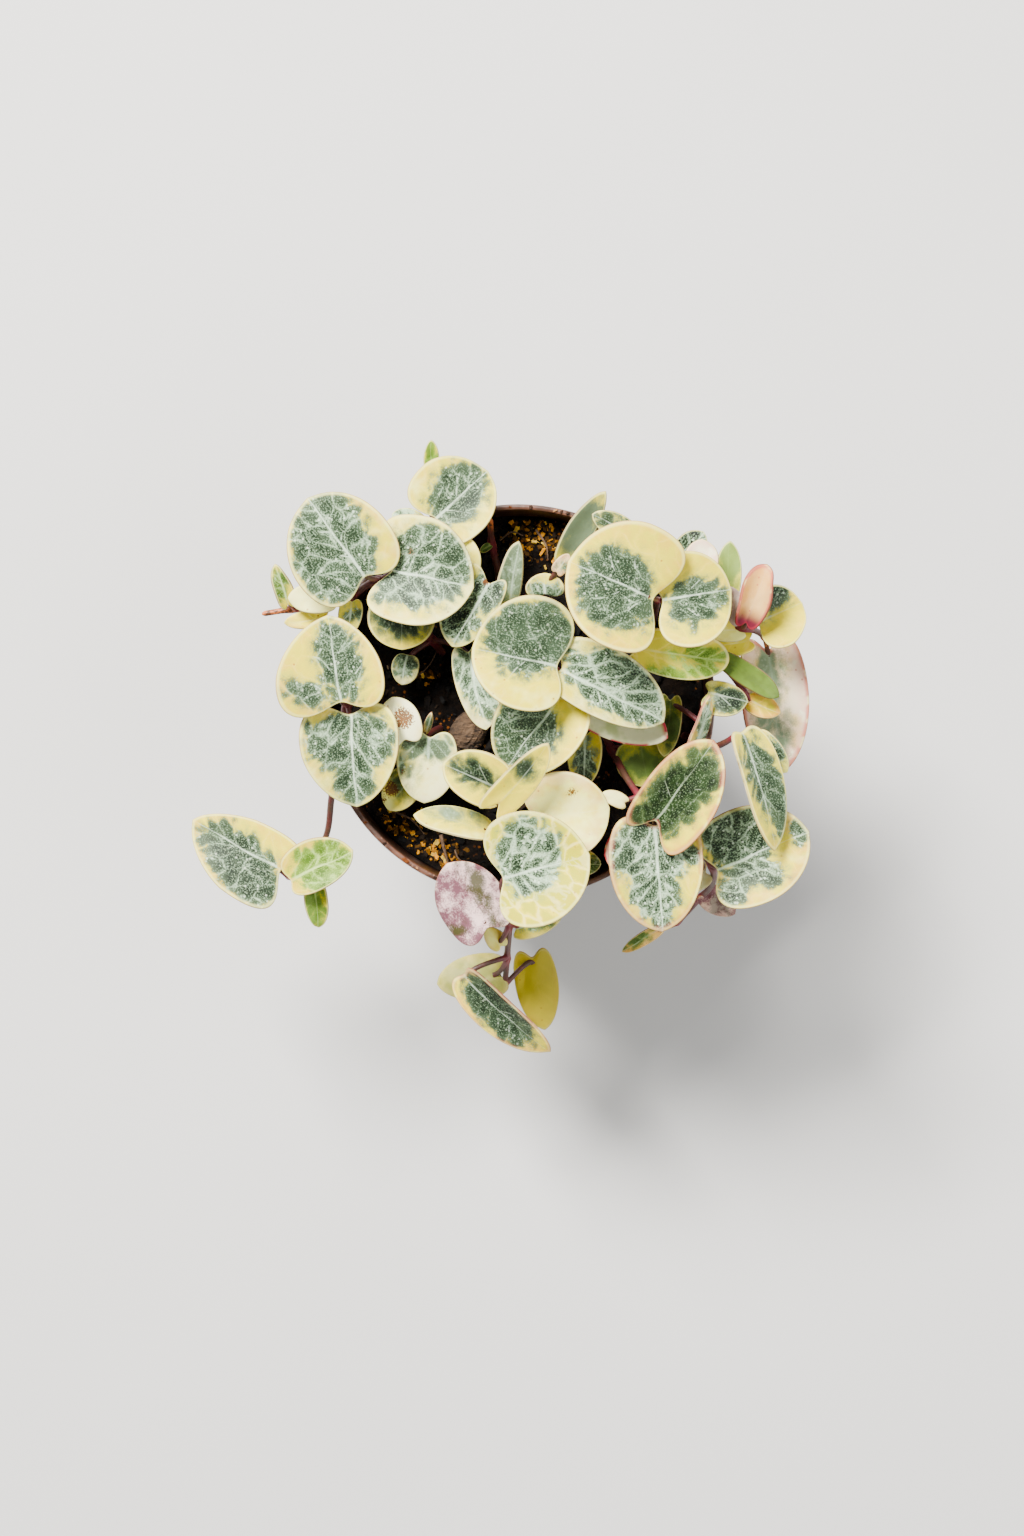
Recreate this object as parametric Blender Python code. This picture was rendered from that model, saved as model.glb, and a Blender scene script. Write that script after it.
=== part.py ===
"""A small variegated string of hearts, rooted in a 60 mm nursery pot.

The places of its stems and leaves are read off the photo, which looks straight
down on the pot. The rim's real size sets their scale. Lengths are worked out in
millimetres from the centre of the rim: +X to the right, +Y to the back, +Z up.
The model itself is in metres, with its origin under the middle of the pot.
"""
from math import cos, pi, radians, sin, tau

import bmesh
import bpy
import numpy as np
from mathutils import Matrix, Vector, noise

MM = 0.001
UP = np.array([0.0, 0.0, 1.0])
GAP = 0.3
MERGE = 0.0001

# Pot
POT_HEIGHT = 55.0
RIM_RADIUS = 30.0
RIM_BAND = 8.0
RIM_ROUND = 0.5
BAND_STEP = 1.3
BAND_TAPER = 0.4
BASE_RADIUS = 21.0
BASE_EDGE = 0.8
POT_WALL = 0.9
FLOOR = 1.3
POT_SIDES = 36
STEP_HEIGHT = POT_HEIGHT - RIM_BAND

# The photo: the middle of its frame and the circle of the rim, in pixels
FRAME_MIDDLE = (512.0, 768.0)
RIM_MIDDLE = (517.7, 701.4)
RIM_REACH = 197.5
CAMERA_HEIGHT = 450.0

# Drain holes
DRAIN_HOLES = 6
DRAIN_RADIUS = 2.3
DRAIN_CIRCLE = 13.5
DRAIN_SIDES = 8

# Soil
SOIL_LEVEL = -7.0
SOIL_EDGE = -6.2
SOIL_LUMP = 0.7
LUMP_SCALE = 0.12
CRUMB_SCALE = 0.45
CRUMB_SHARE = 0.6
CRUMB_SLICE = 9.0
SOIL_RINGS = 5
SOIL_SIDES = 30
ROOT_DEPTH = 5.0
HOLE_RADIUS = 1.2

# Tuber
TUBER_PLACE = (-7.5, -4.5, -6.5)
TUBER_HALVES = (3.6, 2.7, 2.5)
TUBER_TURN = 60.0
TUBER_WRINKLE = 0.1
WRINKLE_SCALE = 2.3

# Stems
STEM_RADIUS = 0.75
TIP_RADIUS = 0.5
STEM_SIDES = 5
STEM_STEPS = 2
PETIOLE_RADIUS = 0.42
PETIOLE_SIDES = 4
PETIOLE_SHARES = (0, 0.45, 1)
PETIOLE_SINK = 1.1
PETIOLE_BACK = 0.35
PETIOLE_RISE = 0.35
PETIOLE_ARRIVE = 0.3
PETIOLE_SAG = 0.12

# Blades
BLADE_HALF = 0.34
BLADE_RINGS = (0.6, 1.0)
LARGE_BLADE = 7.0
LARGE_SEGMENTS = 14
SMALL_SEGMENTS = 8
NOTCH_WIDTH = 0.42
POINT_WIDTH = 0.22
LOBE_REACH = 1.6
CREASE = 1.6
CURL_STEPS = 40


def pixel_size(height):
    """The millimetres that a pixel spans, at a height above the rim."""
    return RIM_RADIUS / RIM_REACH * (CAMERA_HEIGHT - height) / CAMERA_HEIGHT


def spot(x, y, height):
    """A point of the photo, in millimetres from the centre of the rim."""
    rim = pixel_size(0)
    here = pixel_size(height)
    across = (FRAME_MIDDLE[0] - RIM_MIDDLE[0]) * rim + (x - FRAME_MIDDLE[0]) * here
    back = (RIM_MIDDLE[1] - FRAME_MIDDLE[1]) * rim + (FRAME_MIDDLE[1] - y) * here
    return np.array([across, back, height])


def blade(at, notch_at, tip_at, left, right, **shape):
    """One leaf: the stem point it grows from, its notch, its tip, its half widths.

    roll, fold, cup and arch are in degrees. notch, lobe, egg and point shape
    the outline, and a flipped leaf shows its underside.
    """
    form = dict(roll=0, fold=12, cup=8, arch=15, notch=0.32, lobe=0.12,
                egg=0.08, point=0.05, flip=False)
    form.update(shape)
    scale = pixel_size((notch_at[2] + tip_at[2]) / 2)
    form.update(at=at, base=spot(*notch_at), tip=spot(*tip_at),
                left=left * scale, right=right * scale)
    half_arch = radians(form["arch"]) / 2
    chord = np.linalg.norm(form["tip"] - form["base"])
    form["length"] = chord * half_arch / sin(half_arch)
    return form


# Each vine: the points of its stem from the soil up, then its blades. A point is
# its pixels across and down on the photo, and its height in millimetres above the
# rim. Half widths are in pixels.
VINES = {
    # Left edge: a pair on the rim, then a hanging pair with a folded leaf
    "vine_left": (
        [(374, 664, -7), (358, 684, 1), (347, 706, 6.5), (340, 745, 2.5), (334, 770, 1.8),
         (331, 802, -3), (326, 836, -6.5), (308, 862, -6.5), (287, 878, -5)],
        [
            blade(2, (341, 702, 11.5), (328, 615, 13), 62, 46, roll=4, egg=0.25),
            blade(2, (350, 714, 9), (357, 807, 6), 47, 52, egg=0.25),
            blade(8, (281, 870, -3), (193, 820, -4), 46, 32, notch=0.2, lobe=0.4, egg=0.3),
            blade(8, (291, 881, -3), (353, 850, -2.5), 31, 22, notch=0.2, cup=25),
            blade(7, (314, 882, -6), (319, 928, -8), 13, 12, notch=0.15, fold=25),
        ],
    ),
    # Upper left: the big pair, small leaves under it and a dry stem end
    "vine_upper_left": (
        [(408, 602, -7), (396, 596, 1), (380, 580, 9), (352, 594, 6.5), (318, 606, 4),
         (293, 609, 3), (262, 614, 3)],
        [
            blade(2, (365, 577, 12.5), (307, 498, 14.5), 59, 52),
            blade(2, (392, 570, 11), (474, 588, 13), 60, 52, notch=0.4, lobe=0.35),
            blade(3, (352, 602, 8), (347, 636, 8), 12, 12),
            blade(3, (332, 598, 7.5), (288, 598, 7.5), 16, 16),
            blade(4, (325, 618, 4.5), (284, 623, 4.5), 9, 10),
            blade(5, (288, 604, 5), (275, 564, 8), 10, 10, fold=45),
        ],
    ),
    # Top edge: one leaf over the rim and a small one hanging behind
    "vine_top": (
        [(462, 560, -7), (452, 545, 1), (436, 526, 6.5), (431, 503, 2.5), (431, 478, -4)],
        [
            blade(2, (436, 519, 9), (488, 471, 8), 48, 41, lobe=0.2),
            blade(2, (420, 528, 5.5), (392, 514, 5.5), 12, 14),
            blade(1, (446, 556, 8), (480, 570, 9), 26, 22),
            blade(4, (432, 472, -6), (431, 440, -4), 8, 8),
        ],
    ),
    # A bare shoot with a bud at the top edge
    "bud_shoot": (
        [(500, 592, -7), (498, 570, -3), (492, 545, 0), (490, 518, 4)],
        [
            blade(2, (490, 545, 0.5), (480, 552, 1), 4, 4),
        ],
    ),
    # Inside the top edge: a dark leaf, an upright one and a small pair
    "vine_inner_top": (
        [(520, 618, -7), (514, 610, 0), (506, 600, 5), (496, 592, 8)],
        [
            blade(3, (489, 583, 11), (452, 647, 9.5), 22, 34, lobe=0.3),
            blade(2, (510, 602, 6.5), (519, 541, 11), 16, 9, fold=30),
            blade(1, (545, 594, 7), (545, 573, 8), 20, 20),
            blade(1, (557, 572, 9.5), (569, 554, 10.5), 8, 8),
        ],
    ),
    # Centre: the middle pair with three leaves under it
    "vine_centre": (
        [(566, 722, -7), (565, 712, 0), (563, 695, 7), (559, 672, 13)],
        [
            blade(3, (557, 666, 16), (472, 648, 17), 52, 66, point=0.02),
            blade(3, (561, 669, 15), (664, 722, 11), 44, 28),
            blade(2, (560, 697, 11), (505, 770, 9.5), 46, 46),
            blade(1, (585, 735, 3), (583, 787, 3), 18, 18),
            blade(1, (590, 712, 8), (668, 738, 8), 20, 30, flip=True),
        ],
    ),
    # Crown: the highest pair
    "vine_crown": (
        [(652, 622, -7), (654, 614, 3), (657, 604, 12), (658, 600, 18)],
        [
            blade(3, (654, 599, 21), (568, 561, 23), 66, 68, lobe=0.3),
            blade(3, (662, 600, 19), (732, 590, 17), 46, 53),
        ],
    ),
    # Back edge: leaves that lean out behind the crown
    "vine_back": (
        [(584, 584, -7), (580, 568, 2), (602, 552, 8), (640, 548, 9.5), (675, 562, 8),
         (702, 578, 6), (724, 600, 2)],
        [
            blade(1, (568, 560, 7), (606, 491, 13), 18, 11, fold=30),
            blade(2, (630, 535, 12.5), (592, 514, 14), 12, 14),
            blade(4, (680, 560, 9.5), (704, 532, 10), 16, 16),
            blade(5, (700, 572, 12.5), (702, 539, 13), 18, 18),
            blade(6, (726, 598, 2.5), (730, 541, 2.5), 14, 14),
        ],
    ),
    # Right edge: a pink folded leaf, its neighbours and a broad low leaf
    "vine_right": (
        [(676, 648, -7), (694, 636, 2), (722, 628, 8), (745, 628, 11), (758, 632, 8),
         (765, 638, 4.5)],
        [
            blade(3, (746, 622, 14), (767, 565, 18.5), 19, 19, fold=45, egg=-0.3),
            blade(3, (758, 623, 11.5), (803, 603, 11), 31, 34, notch=0.2),
            blade(3, (741, 620, 12), (726, 586, 14), 12, 12, flip=True),
            blade(2, (742, 630, 10.5), (704, 630, 10), 12, 12),
            blade(2, (750, 640, 7), (710, 648, 7), 14, 14),
            blade(5, (768, 650, 1.5), (782, 776, -1), 36, 36, roll=-12, arch=22),
        ],
    ),
    # Right, inside: a long leaf with a glossy one and a small one beyond
    "vine_right_inner": (
        [(640, 692, -7), (640, 674, 2), (643, 655, 9), (680, 662, 7.5), (718, 664, 7.5),
         (744, 690, 7)],
        [
            blade(2, (640, 648, 13.5), (728, 664, 13), 27, 25, roll=18),
            blade(4, (722, 658, 10.5), (779, 697, 9.5), 12, 12, fold=30),
            blade(5, (750, 701, 7), (780, 713, 6.5), 12, 12),
        ],
    ),
    # Right, low: small leaves between the long ones
    "vine_right_low": (
        [(684, 736, -7), (694, 736, -1), (701, 722, 3), (704, 700, 4.5)],
        [
            blade(3, (708, 692, 9), (748, 702, 9.5), 14, 22),
            blade(2, (695, 746, 7.5), (714, 696, 12), 10, 9, roll=35),
            blade(2, (670, 700, 1), (664, 757, 1), 14, 14),
        ],
    ),
    # Front right: a folded pair with low leaves round its stem
    "vine_front_right": (
        [(604, 733, -7), (612, 750, -3), (625, 775, 3), (640, 797, 7.5), (655, 815, 10.5)],
        [
            blade(4, (656, 821, 14.5), (714, 740, 19), 34, 46, fold=22, lobe=0.45),
            blade(4, (655, 825, 13), (662, 932, 11), 46, 50, egg=0.15),
            blade(1, (640, 745, -1.5), (648, 787, -1.5), 28, 28),
            blade(3, (640, 850, 6.5), (604, 855, 6.5), 25, 25),
            blade(3, (625, 803, 8.5), (602, 793, 8.5), 8, 8),
        ],
    ),
    # Right: a long tilted leaf and a small one below it
    "vine_long_leaf": (
        [(676, 756, -7), (696, 754, 1.5), (722, 744, 8), (737, 735, 11)],
        [
            blade(3, (741, 732, 13.5), (784, 847, 11.5), 32, 24, notch=0.15, roll=-42),
            blade(3, (757, 738, 7), (787, 772, 6), 14, 14),
        ],
    ),
    # Front right, over the rim: a broad leaf, then a thin hanging end
    "vine_right_trail": (
        [(648, 794, -7), (658, 806, -1), (676, 826, 3), (698, 848, 4), (712, 866, 5), (712, 884, 0),
         (700, 898, -5), (676, 924, -10)],
        [
            blade(4, (717, 870, 7), (809, 831, 8), 52, 50),
            blade(3, (706, 872, 3), (672, 886, 2), 15, 15),
            blade(6, (705, 893, -4), (735, 914, -7), 14, 14, flip=True),
            blade(6, (688, 894, -5), (660, 884, -6), 12, 12, flip=True),
            blade(7, (658, 930, -10.5), (622, 952, -13), 7, 7),
        ],
    ),
    # Front: a pair at the rim, then the longest hanging stem
    "vine_front_trail": (
        [(514, 860, -7), (511, 880, -1), (506, 902, 3), (509, 925, -2), (507, 958, -10.5),
         (505, 986, -15)],
        [
            blade(2, (503, 878, 11), (590, 855, 14), 63, 57),
            blade(2, (488, 928, 5.5), (447, 863, 6), 34, 36, flip=True),
            blade(3, (516, 928, -3), (563, 912, -2.5), 15, 15),
            blade(3, (501, 946, -5), (486, 928, -4.5), 10, 10),
            blade(4, (500, 974, -14), (437, 984, -17), 24, 24, flip=True),
            blade(4, (464, 974, -8), (544, 1057, -12), 22, 28, fold=22, notch=0.15, roll=35),
            blade(5, (532, 957, -16), (545, 1030, -19), 22, 22, flip=True),
            blade(1, (545, 890, 2.5), (583, 893, 2.5), 13, 13),
            blade(1, (572, 862, 3.5), (601, 864, 3.5), 13, 13),
        ],
    ),
    # Front, inside: a folded leaf, a narrow one, a cream one and a low one
    "vine_front": (
        [(512, 828, -7), (510, 815, 0), (506, 802, 6)],
        [
            blade(2, (499, 789, 11), (443, 763, 12), 26, 30, fold=22),
            blade(2, (498, 803, 14), (552, 746, 17.5), 18, 20, roll=25, lobe=0.5),
            blade(1, (535, 820, 8.5), (610, 808, 9), 46, 46),
            blade(1, (490, 832, 6.5), (415, 809, 6.5), 18, 18, notch=0.15, roll=38),
        ],
    ),
    # Left, inside: three pale leaves and a bud beside the tuber
    "vine_spotted": (
        [(440, 729, -7), (434, 731, -2), (424, 737, 2)],
        [
            blade(2, (405, 740, 7.5), (392, 697, 7.5), 22, 22),
            blade(2, (430, 737, 5.5), (424, 803, 3.5), 30, 31),
            blade(2, (411, 777, 0.5), (388, 810, 1), 18, 20),
            blade(2, (426, 731, 4), (432, 712, 6.5), 4, 4),
        ],
    ),
    # Left of the middle: a round leaf, a new leaf and a hidden one
    "vine_inner_left": (
        [(442, 652, -7), (432, 640, -1.5), (418, 615, 3), (405, 598, 5)],
        [
            blade(3, (402, 601, 6.5), (402, 650, 6), 35, 35),
            blade(1, (408, 655, -1), (402, 685, -1), 14, 14, notch=0.12),
            blade(1, (468, 652, 5), (486, 730, 5), 25, 20),
        ],
    ),
}


def outline(form, rho, phi):
    """The flat blade: notch at the origin, midrib along +X, phi 0 at the tip."""
    reach = form["length"] / (2 - form["notch"] + form["point"])
    centre = reach * (1 - form["notch"])
    off_tip = np.minimum(phi, tau - phi)
    radius = (1 - form["notch"] * np.exp(-((phi - pi) / NOTCH_WIDTH) ** 2)
              + form["point"] * np.exp(-off_tip / POINT_WIDTH))
    back = LOBE_REACH * form["lobe"] * np.sin(phi) ** 2 * np.clip(-np.cos(phi), 0, 1)
    half = np.where(np.sin(phi) >= 0, form["left"], form["right"])
    x = centre + reach * rho * (np.cos(phi) * radius - back)
    y = half * rho * np.sin(phi) * radius * (1 - form["egg"] * np.cos(phi))
    return x, y


def curl(run, turn):
    """Follow a strip whose slope at each distance is turn(distance)."""
    steps = np.linspace(0, max(run.max(), MERGE), CURL_STEPS + 1)
    middle = turn((steps[1:] + steps[:-1]) / 2)
    width = steps[1] - steps[0]
    along = np.concatenate([[0], np.cumsum(np.cos(middle) * width)])
    up = np.concatenate([[0], np.cumsum(np.sin(middle) * width)])
    return np.interp(run, steps, along), np.interp(run, steps, up), turn(run)


def shaped(form, x, y, height):
    """Fold the blade along its midrib, cup it across and arch it to its tip."""
    fold, cup, arch = radians(form["fold"]), radians(form["cup"]), radians(form["arch"])
    half = max(form["left"], form["right"])
    along, up, slope = curl(np.abs(y), lambda run: fold * np.tanh(run / CREASE)
                            + cup * (run / half) ** 2)
    side = np.sign(y) * (along - height * np.sin(slope))
    rise = up + height * np.cos(slope)
    along, up, slope = curl(np.maximum(x, 0), lambda run: -arch * run / form["length"])
    forward = np.where(x < 0, x, along) - rise * np.sin(slope)
    return np.stack([forward, side, up + rise * np.cos(slope)], axis=-1)


def turned(form):
    """The rotation that points the blade from its notch to its tip."""
    line = form["tip"] - form["base"]
    lift = radians(form["arch"]) / 2 * (-1 if form["flip"] else 1)
    heading = np.arctan2(line[1], line[0])
    pitch = np.arcsin(line[2] / np.linalg.norm(line)) + lift
    roll = radians(form["roll"]) + (pi if form["flip"] else 0)
    about_z = np.array([[cos(heading), -sin(heading), 0],
                        [sin(heading), cos(heading), 0],
                        [0, 0, 1]])
    about_y = np.array([[cos(pitch), 0, -sin(pitch)],
                        [0, 1, 0],
                        [sin(pitch), 0, cos(pitch)]])
    about_x = np.array([[1, 0, 0],
                        [0, cos(roll), -sin(roll)],
                        [0, sin(roll), cos(roll)]])
    return about_z @ about_y @ about_x


def placed(form, x, y, height):
    """Points of the blade, in millimetres from the centre of the rim."""
    return shaped(form, x, y, height) @ turned(form).T + form["base"]


def mesh_object(name, points, faces):
    """A mesh object from points in millimetres from the centre of the rim."""
    mesh = bpy.data.meshes.new(name)
    mesh.from_pydata(((np.asarray(points) + POT_HEIGHT * UP) * MM).tolist(), [], faces)
    piece = bpy.data.objects.new(name, mesh)
    bpy.context.collection.objects.link(piece)
    return piece


def disc_faces(first, rings, sides):
    """Triangles of a round sheet: its middle point, then its rings outwards."""
    faces = []
    for side in range(sides):
        after = (side + 1) % sides
        faces.append((first, first + 1 + side, first + 1 + after))
        for ring in range(rings - 1):
            inner = first + 1 + ring * sides
            outer = inner + sides
            faces.append((inner + side, outer + side, outer + after))
            faces.append((inner + side, outer + after, inner + after))
    return faces


def wall_faces(upper, lower, sides):
    """Triangles between two rings, the upper one first."""
    faces = []
    for side in range(sides):
        after = (side + 1) % sides
        faces.append((upper + side, lower + side, lower + after))
        faces.append((upper + side, lower + after, upper + after))
    return faces


def blade_solid(name, form):
    """A closed blade: both faces split alike, with a thin wall at the margin."""
    sides = LARGE_SEGMENTS if form["length"] > LARGE_BLADE else SMALL_SEGMENTS
    phi = np.arange(sides) * tau / sides
    points = []
    for height in (BLADE_HALF, -BLADE_HALF):
        points.append(placed(form, *outline(form, 0, phi[:1]), height))
        for rho in BLADE_RINGS:
            points.append(placed(form, *outline(form, rho, phi), height))
    under = 1 + len(BLADE_RINGS) * sides
    top = disc_faces(0, len(BLADE_RINGS), sides)
    margin = wall_faces(under - sides, 2 * under - sides, sides)
    bottom = [(under + c, under + b, under + a) for a, b, c in top]
    return mesh_object(name, np.concatenate(points), top + margin + bottom)


def smooth_path(points):
    """A Catmull-Rom curve through the stem's points."""
    ends = [2 * points[0] - points[1]] + points + [2 * points[-1] - points[-2]]
    path = []
    for a, b, c, d in zip(ends, ends[1:], ends[2:], ends[3:]):
        for t in np.arange(STEM_STEPS) / STEM_STEPS:
            path.append(0.5 * (2 * b + (c - a) * t + (2 * a - 5 * b + 4 * c - d) * t ** 2
                               + (3 * b - a - 3 * c + d) * t ** 3))
    return path + [points[-1]]


def tube_solid(name, path, radii, sides):
    """A closed tube along a path, turned as little as possible on the way."""
    path = [Vector(point) for point in path]
    lean = Vector((1, 0, 0))
    points = []
    for k, point in enumerate(path):
        along = (path[min(k + 1, len(path) - 1)] - path[max(k - 1, 0)]).normalized()
        lean = (lean - along * lean.dot(along)).normalized()
        across = along.cross(lean)
        for side in range(sides):
            turn = tau * side / sides
            points.append(point + (lean * cos(turn) + across * sin(turn)) * radii[k])
    last = len(points) - sides
    faces = [tuple(reversed(range(sides))), tuple(range(last, last + sides))]
    for ring in range(0, last, sides):
        faces += [face[::-1] for face in wall_faces(ring, ring + sides, sides)]
    return mesh_object(name, points, faces)


def stem_solid(name, stem):
    """The stem, from the foot of its hole in the soil to its end."""
    foot = stem[0] - ROOT_DEPTH * UP
    path = [foot] + smooth_path(stem)
    return tube_solid(name, path, np.linspace(STEM_RADIUS, TIP_RADIUS, len(path)), STEM_SIDES)


def petiole_solid(name, form, stem):
    """From inside the stem up into the blade, a little way in from its notch."""
    node = stem[form["at"]]
    below = stem[form["at"] - 1] - node
    start = node + PETIOLE_BACK * below / np.linalg.norm(below)
    end = placed(form, np.array([PETIOLE_SINK]), np.zeros(1), -BLADE_HALF / 2)[0]
    reach = np.linalg.norm(end - start)
    leave = start + PETIOLE_RISE * reach * UP
    arrive = end - PETIOLE_ARRIVE * reach * turned(form)[:, 0] - PETIOLE_SAG * reach * UP
    path = [(1 - t) ** 3 * start + 3 * t * (1 - t) ** 2 * leave
            + 3 * t ** 2 * (1 - t) * arrive + t ** 3 * end for t in PETIOLE_SHARES]
    return tube_solid(name, path, [PETIOLE_RADIUS] * len(path), PETIOLE_SIDES)


def main_body(mesh):
    """Keep the largest shell: sealed hollows and loose scraps are dropped."""
    bm = bmesh.new()
    bm.from_mesh(mesh)
    bmesh.ops.dissolve_degenerate(bm, edges=bm.edges, dist=MERGE * MM)
    bmesh.ops.triangulate(bm, faces=bm.faces)
    unseen = set(bm.verts)
    shells = []
    while unseen:
        front = [unseen.pop()]
        shell = set(front)
        while front:
            near = {edge.other_vert(vert) for vert in front for edge in vert.link_edges}
            front = list(near & unseen)
            shell |= near
            unseen -= near
        shells.append(shell)
    largest = max(shells, key=len)
    spare = [vert for vert in bm.verts if vert not in largest]
    bmesh.ops.delete(bm, geom=spare, context="VERTS")
    bm.to_mesh(mesh)
    bm.free()


def fused(name, first, others, material):
    """One solid from overlapping pieces, by a Boolean union on a collection."""
    repeats = bpy.data.collections.new(name + "_repeats")
    bpy.context.scene.collection.children.link(repeats)
    for piece in others:
        repeats.objects.link(piece)
        bpy.context.collection.objects.unlink(piece)
    union = first.modifiers.new("union", "BOOLEAN")
    union.operation = "UNION"
    union.solver = "EXACT"
    union.operand_type = "COLLECTION"
    union.collection = repeats
    apply_all(first)
    for piece in others:
        bpy.data.objects.remove(piece)
    bpy.data.collections.remove(repeats)
    first.name = name
    first.data.materials.append(material)


def apply_all(piece):
    """Apply the piece's modifiers and keep its one main body."""
    graph = bpy.context.evaluated_depsgraph_get()
    mesh = bpy.data.meshes.new_from_object(piece.evaluated_get(graph))
    piece.modifiers.clear()
    piece.data = mesh
    main_body(mesh)


def make_vine(name, points, blades, material):
    """A leafy stem: the stem, and each blade on its petiole."""
    stem = [spot(*point) for point in points]
    others = []
    for k, form in enumerate(blades):
        others.append(petiole_solid(f"{name}_petiole_{k}", form, stem))
        others.append(blade_solid(f"{name}_blade_{k}", form))
    fused(name, stem_solid(name + "_stem", stem), others, material)


def lathe_solid(name, profile, sides):
    """A solid of revolution from radii and heights above the pot's foot."""
    bm = bmesh.new()
    ring = [bm.verts.new((radius * MM, 0, height * MM)) for radius, height in profile]
    edges = [bm.edges.new(pair) for pair in zip(ring, ring[1:])]
    bmesh.ops.spin(bm, geom=ring + edges, axis=(0, 0, 1), cent=(0, 0, 0),
                   angle=tau, steps=sides)
    bmesh.ops.remove_doubles(bm, verts=bm.verts, dist=MERGE * MM)
    bmesh.ops.triangulate(bm, faces=bm.faces)
    bmesh.ops.recalc_face_normals(bm, faces=bm.faces)
    mesh = bpy.data.meshes.new(name)
    bm.to_mesh(mesh)
    bm.free()
    piece = bpy.data.objects.new(name, mesh)
    bpy.context.collection.objects.link(piece)
    return piece


def cut_away(piece, cutters):
    """Take the cutters out of the piece, and remove them."""
    for cutter in cutters:
        cut = piece.modifiers.new("cut", "BOOLEAN")
        cut.operation = "DIFFERENCE"
        cut.solver = "EXACT"
        cut.object = cutter
    apply_all(piece)
    for cutter in cutters:
        bpy.data.objects.remove(cutter)


def wall_radius(height):
    """The inner radius of the pot's tapered wall, below its rim band."""
    share = (height - FLOOR) / (STEP_HEIGHT - FLOOR)
    return BASE_RADIUS + (RIM_RADIUS - BAND_STEP - BASE_RADIUS) * share - POT_WALL


def make_pot(material):
    """A thin tapered pot with a stepped rim band and holes in its floor."""
    band_foot = RIM_RADIUS - BAND_TAPER
    shelf = STEP_HEIGHT - RIM_ROUND
    profile = [
        (0, 0),
        (BASE_RADIUS - BASE_EDGE, 0),
        (BASE_RADIUS, BASE_EDGE),
        (RIM_RADIUS - BAND_STEP, STEP_HEIGHT),
        (band_foot, STEP_HEIGHT + BASE_EDGE),
        (RIM_RADIUS, POT_HEIGHT - RIM_ROUND),
        (RIM_RADIUS - POT_WALL / 3, POT_HEIGHT),
        (RIM_RADIUS - POT_WALL * 2 / 3, POT_HEIGHT),
        (RIM_RADIUS - POT_WALL, POT_HEIGHT - RIM_ROUND),
        (band_foot - POT_WALL, STEP_HEIGHT + BASE_EDGE),
        (wall_radius(shelf), shelf),
        (wall_radius(FLOOR), FLOOR),
        (0, FLOOR),
    ]
    pot = lathe_solid("pot", profile, POT_SIDES)
    drill = [(0, 2 * FLOOR), (DRAIN_RADIUS, 2 * FLOOR), (DRAIN_RADIUS, -FLOOR), (0, -FLOOR)]
    drills = []
    for k in range(DRAIN_HOLES):
        turn = tau * k / DRAIN_HOLES
        hole = lathe_solid(f"drill_{k}", drill, DRAIN_SIDES)
        place = (DRAIN_CIRCLE * cos(turn) * MM, DRAIN_CIRCLE * sin(turn) * MM, 0)
        hole.data.transform(Matrix.Translation(place))
        drills.append(hole)
    cut_away(pot, drills)
    pot.data.materials.append(material)


def soil_height(x, y):
    """The crumbly surface, in millimetres from the rim."""
    lump = noise.noise(Vector((x, y, 0)) * LUMP_SCALE)
    crumb = noise.noise(Vector((x, y, CRUMB_SLICE)) * CRUMB_SCALE)
    return SOIL_LEVEL + SOIL_LUMP * (lump + CRUMB_SHARE * crumb)


def make_soil(material):
    """Soil that fills the pot, with a plain hole for each stem and the tuber's bed."""
    band = RIM_RADIUS - BAND_TAPER - POT_WALL - GAP
    shelf = STEP_HEIGHT - RIM_ROUND
    turns = np.arange(SOIL_SIDES) * tau / SOIL_SIDES
    surface = [(0, 0, soil_height(0, 0))]
    for ring in range(1, SOIL_RINGS):
        radius = band * ring / SOIL_RINGS
        for x, y in zip(radius * np.cos(turns), radius * np.sin(turns)):
            surface.append((x, y, soil_height(x, y)))
    rings = [(band, SOIL_EDGE),
             (wall_radius(shelf) - GAP, shelf - POT_HEIGHT),
             (wall_radius(FLOOR) - GAP, FLOOR + GAP - POT_HEIGHT)]
    for radius, height in rings:
        surface += [(radius * cos(turn), radius * sin(turn), height) for turn in turns]
    last = len(surface)
    surface.append((0, 0, FLOOR + GAP - POT_HEIGHT))
    faces = disc_faces(0, SOIL_RINGS + len(rings) - 1, SOIL_SIDES)
    for side in range(SOIL_SIDES):
        faces.append((last - 1 - side, last - 1 - (side + 1) % SOIL_SIDES, last))
    soil = mesh_object("soil", surface, faces)
    cutters = [tuber_solid("bed", GAP)]
    for k, (points, _) in enumerate(VINES.values()):
        foot = spot(*points[0])
        ends = [foot - (ROOT_DEPTH + GAP) * UP, foot - SOIL_LEVEL * UP]
        cutters.append(tube_solid(f"hole_{k}", ends, [HOLE_RADIUS] * 2, STEM_SIDES))
    cut_away(soil, cutters)
    soil.data.materials.append(material)


def tuber_solid(name, grow=0.0):
    """A wrinkled tuber lying half sunk in the soil."""
    bm = bmesh.new()
    bmesh.ops.create_icosphere(bm, subdivisions=2, radius=1)
    turn = Matrix.Rotation(radians(TUBER_TURN), 3, "Z")
    points = []
    for vert in bm.verts:
        wrinkle = 1 + TUBER_WRINKLE * noise.noise(vert.co * WRINKLE_SCALE)
        local = [co * (half * wrinkle + grow) for co, half in zip(vert.co, TUBER_HALVES)]
        points.append(turn @ Vector(local) + Vector(TUBER_PLACE))
    faces = [[vert.index for vert in face.verts] for face in bm.faces]
    bm.free()
    return mesh_object(name, points, faces)


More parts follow.
